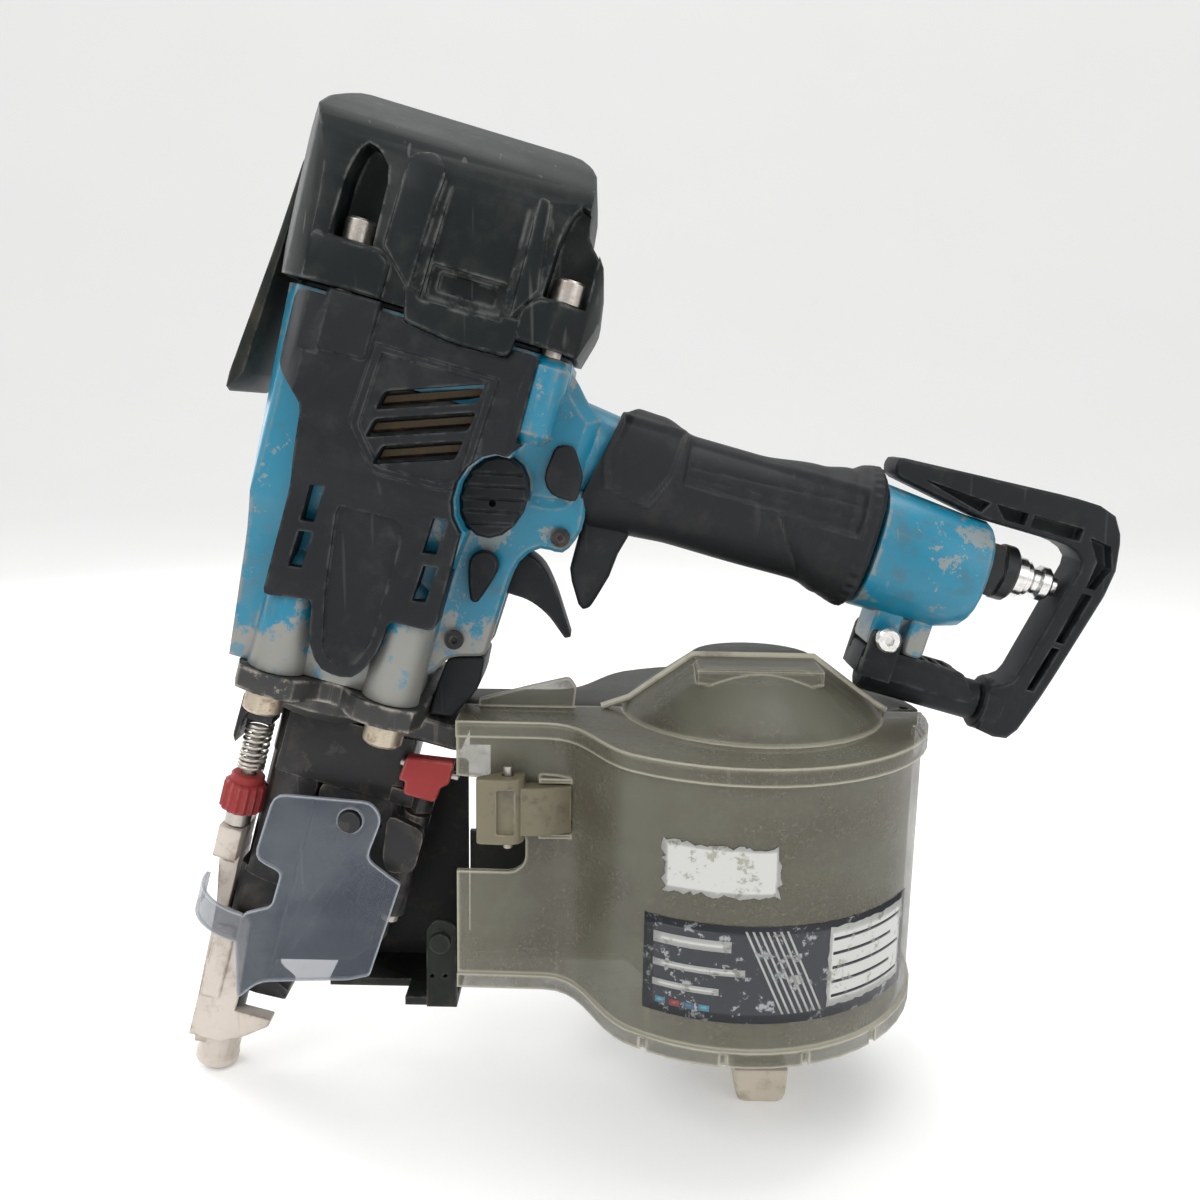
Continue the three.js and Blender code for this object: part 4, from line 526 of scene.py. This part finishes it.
# ---- Rubber grip in full detail ------------------------------------------------------------------
GRIP_RINGS = [  # along the handle, centre height, half height, half width, lean
    (74.5, 245, 18.8, 16.9, 0.2), (80, 245.2, 21, 18, 0.16), (90, 245.6, 20.4, 18.4, 0.05),
    (104, 244.4, 18.2, 17.6, 0), (124, 244.4, 18.3, 17.4, 0), (146, 245.8, 19.4, 17.6, 0),
    (156, 246, 21, 18.6, 0), (161, 246, 23.4, 20.6, 0), (164, 246, 23.8, 21, 0), (166, 245.8, 22, 19.6, 0),
]
FRONT_PANEL = [(75.5, 262), (76.3, 249), (80.5, 240.6), (93.4, 238.2), (97.6, 248.6), (98.6, 262)]
LONG_PANEL = [
    (100.8, 261), (102, 247), (118, 247.4), (136, 247.4), (159.4, 246.8), (160.2, 253), (159.6, 261),
]
GROOVES = [
    ((103, 253.6), (158, 257)), ((103, 250.4), (157, 252.4)), ((134, 246.4), (140, 238)),
    ((140, 238), (147.4, 229)),
]


def between(low, high, value):
    t = min(1.0, max(0.0, (value - low) / (high - low)))
    return t * t * (3 - 2 * t)


def segment_distance(point, start, end):
    (px, pz), (ax, az), (bx, bz) = point, start, end
    dx, dz = bx - ax, bz - az
    t = min(1.0, max(0.0, ((px - ax) * dx + (pz - az) * dz) / (dx * dx + dz * dz)))
    return math.hypot(px - ax - t * dx, pz - az - t * dz)


def inside_distance(point, polygon):
    """Distance to the polygon's edge, positive inside."""
    px, pz = point
    sides = list(zip(polygon, polygon[1:] + polygon[:1]))
    near = min(segment_distance(point, a, b) for a, b in sides)
    crossings = 0
    for (ax, az), (bx, bz) in sides:
        if (az > pz) != (bz > pz) and px < (bx - ax) * (pz - az) / (bz - az) + ax:
            crossings += 1
    return near if crossings % 2 else -near


def grip_relief(x, z, angle):
    """Height of the moulded relief, in millimetres, at a point of the grip's side view."""
    front = inside_distance((x, z), FRONT_PANEL)
    long = inside_distance((x, z), LONG_PANEL)
    height = -0.55 * between(-0.2, 0.9, front) + 0.5 * math.exp(-(((front + 0.9) / 0.7) ** 2))
    height += -0.95 * between(-0.3, 1.0, long) + 0.35 * math.exp(-(((long + 0.9) / 0.7) ** 2))
    for start, end in GROOVES:
        height -= 0.45 * math.exp(-((segment_distance((x, z), start, end) / 0.55) ** 2))
    behind_crease = x - 134 - (246.4 - z) * 0.75
    height += 0.9 * between(0, 5, behind_crease) * between(0, 2, 247 - z) * between(0, 3, 160 - x)
    height += 0.28 * math.cos(34 * angle) * between(160.6, 162, x) * between(0, 1.2, 165.6 - x)
    return height


def ring_at(x):
    for before, after in zip(GRIP_RINGS, GRIP_RINGS[1:]):
        if x <= after[0]:
            t = between(before[0], after[0], x)
            return [before[k] + (after[k] - before[k]) * t for k in range(1, 5)]
    return GRIP_RINGS[-1][1:]


def grip_sleeve():
    """The soft sleeve with its moulded panels and ribbed collar, as a closed shell."""
    along, around, wall, power = 200, 168, 1.6, 2 / 2.5
    verts, faces = [], []
    for skin in (0, 1):
        for i in range(along + 1):
            x = 74.5 + 91.5 * i / along
            centre, high, wide, lean = ring_at(x)
            for k in range(around):
                angle = 2 * math.pi * k / around
                c, s = math.cos(angle), math.sin(angle)
                across = math.copysign(abs(c) ** power, c) * wide
                up = math.copysign(abs(s) ** power, s) * high
                lift = -wall if skin else grip_relief(x, centre + up, angle)
                grow = 1 + lift / max(6.0, math.hypot(across, up))
                verts.append(driver(x + up * lean, across * grow, centre + up * grow))
    size = (along + 1) * around
    for skin in (0, 1):
        for i in range(along):
            for k in range(around):
                a = skin * size + i * around + k
                b = skin * size + i * around + (k + 1) % around
                faces.append((a, b, b + around, a + around))
    for i in (0, along):
        for k in range(around):
            a, b = i * around + k, i * around + (k + 1) % around
            faces.append((a, b, b + size, a + size))
    sleeve = piece_from("grip_sleeve", verts, faces, finishes["rubber"], "frame")
    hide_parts("rubber_grip")


def grip_tongue():
    """The finger guard that hangs from the front of the sleeve."""
    outline = [
        (75, 236), (75.1, 222), (75.3, 210), (77, 206), (81.2, 199.2), (83, 198), (85, 198.4), (86.4, 203),
        (88.5, 211), (89.2, 219), (91, 226), (96, 236),
    ]
    verts, faces = [], []
    for y in (-8.4, 8.4):
        verts += [driver(x, y, z) for x, z in outline]
    count = len(outline)
    faces += [tuple(range(count)), tuple(range(count, 2 * count))]
    for k in range(count):
        faces.append((k, (k + 1) % count, count + (k + 1) % count, count + k))
    tongue = piece_from("grip_tongue", verts, faces, finishes["rubber"], "frame", smooth=False)
    bevel = tongue.modifiers.new("round", "BEVEL")
    bevel.width = 2.2 * MM
    bevel.segments = 4
    bevel.limit_method = "ANGLE"
    bevel.angle_limit = math.radians(50)
    smooth_shading(tongue)


VENTS = ((8, 247, 36, 257), (7, 238.5, 35.5, 248.5), (11, 231.5, 34, 239.5))  # x, z at each slanted vent's ends


def vent_slats():
    """Rusty louvres behind the three slanted vents of each side cover."""
    rust = brushed("rusty_slat", (0.10, 0.08, 0.055), 0.6, rust=0.35)
    for side, label in ((-1, "near"), (1, "far")):
        for index, (x0, z0, x1, z1) in enumerate(VENTS):
            corners = ((x0 + 0.8, z0 - 1.6), (x1 - 0.2, z1 - 1.6), (x1 + 0.3, z1 + 0.8), (x0 + 1.4, z0 + 0.8))
            verts = []
            for y in (34.75, 35.9):
                for x, z in corners:
                    verts.append(driver(x, side * y, z + (0.9 if y > 35 else 0.0)))
            faces = [(0, 1, 2, 3), (4, 5, 6, 7), (0, 1, 5, 4), (1, 2, 6, 5), (2, 3, 7, 6), (3, 0, 4, 7)]
            piece_from(f"vent_slat_{label}_{index}", verts, faces, rust, "frame", smooth=False)


contact_spring()
labels()
seam_rim()
vent_slats()
grip_sleeve()
grip_tongue()


# ---- Stage, light and camera --------------------------------------------------------------------
def area(name, place, target, size, energy, color=(1, 1, 1)):
    data = bpy.data.lights.new(name, "AREA")
    data.shape = "RECTANGLE"
    data.size, data.size_y = size
    data.energy = energy
    data.color = color
    light = bpy.data.objects.new(name, data)
    light.location = place
    light.rotation_mode = "QUATERNION"
    light.rotation_quaternion = (Vector(target) - Vector(place)).to_track_quat("-Z", "Y")
    bpy.context.scene.collection.objects.link(light)


def studio():
    """A pale seamless sweep: a flat floor that curves up far behind the tool."""
    g = Graph("floor")
    tone = g.mix(g.noise(3.0, 2), (0.86, 0.86, 0.855), (0.89, 0.89, 0.885))
    glow = {"Specular IOR Level": 0.1, "Emission Color": (1, 1, 1, 1), "Emission Strength": 0.14}
    g.shader(tone, 0.8, **glow)
    profile = [(-5.0, 0.0), (2.0, 0.0)]
    for k in range(1, 25):
        angle = math.radians(90 * k / 24)
        profile.append((2.0 + 2.0 * math.sin(angle), 2.0 - 2.0 * math.cos(angle)))
    profile.append((4.0, 7.0))
    verts = [(x, y, z) for y, z in profile for x in (-8.0, 8.0)]
    faces = [(2 * k, 2 * k + 1, 2 * k + 3, 2 * k + 2) for k in range(len(profile) - 1)]
    mesh = bpy.data.meshes.new("floor")
    mesh.from_pydata(verts, [], faces)
    mesh.shade_smooth()
    mesh.materials.append(g.material)
    floor = bpy.data.objects.new("floor", mesh)
    bpy.context.scene.collection.objects.link(floor)
    world = bpy.data.worlds.new("studio")
    bpy.context.scene.world = world
    world.use_nodes = True
    background = world.node_tree.nodes["Background"]
    background.inputs["Color"].default_value = (1.0, 1.0, 1.0, 1)
    background.inputs["Strength"].default_value = 0.72
    middle = (0, 0, 0.16)
    area("key", (-0.7, -0.9, 1.15), middle, (0.9, 0.7), 9)
    area("fill", (0.95, -0.8, 0.55), middle, (0.8, 0.8), 3.5)
    area("top", (0.1, 0.2, 1.3), middle, (1.0, 0.6), 7)
    area("rim", (-0.9, 0.5, 0.6), middle, (0.5, 0.8), 5)


def camera():
    """The near side from a little above, slightly rolled."""
    pitch, roll = math.radians(9.8), math.radians(1.05)
    forward = Vector((0, math.cos(pitch), -math.sin(pitch)))
    up_level = Vector((0, math.sin(pitch), math.cos(pitch)))
    right = math.cos(roll) * Vector((1, 0, 0)) + math.sin(roll) * up_level
    up = -math.sin(roll) * Vector((1, 0, 0)) + math.cos(roll) * up_level
    data = bpy.data.cameras.new("camera")
    data.sensor_width = 36
    data.lens = 31.5
    data.clip_start = 0.01
    eye = bpy.data.objects.new("camera", data)
    place = Vector((-0.01295, -0.350, 0.2345))
    eye.matrix_world = Matrix((
        (right.x, up.x, -forward.x, place.x),
        (right.y, up.y, -forward.y, place.y),
        (right.z, up.z, -forward.z, place.z),
        (0, 0, 0, 1),
    ))
    bpy.context.scene.collection.objects.link(eye)
    bpy.context.scene.camera = eye


studio()
camera()
bpy.context.scene.view_settings.view_transform = "Standard"
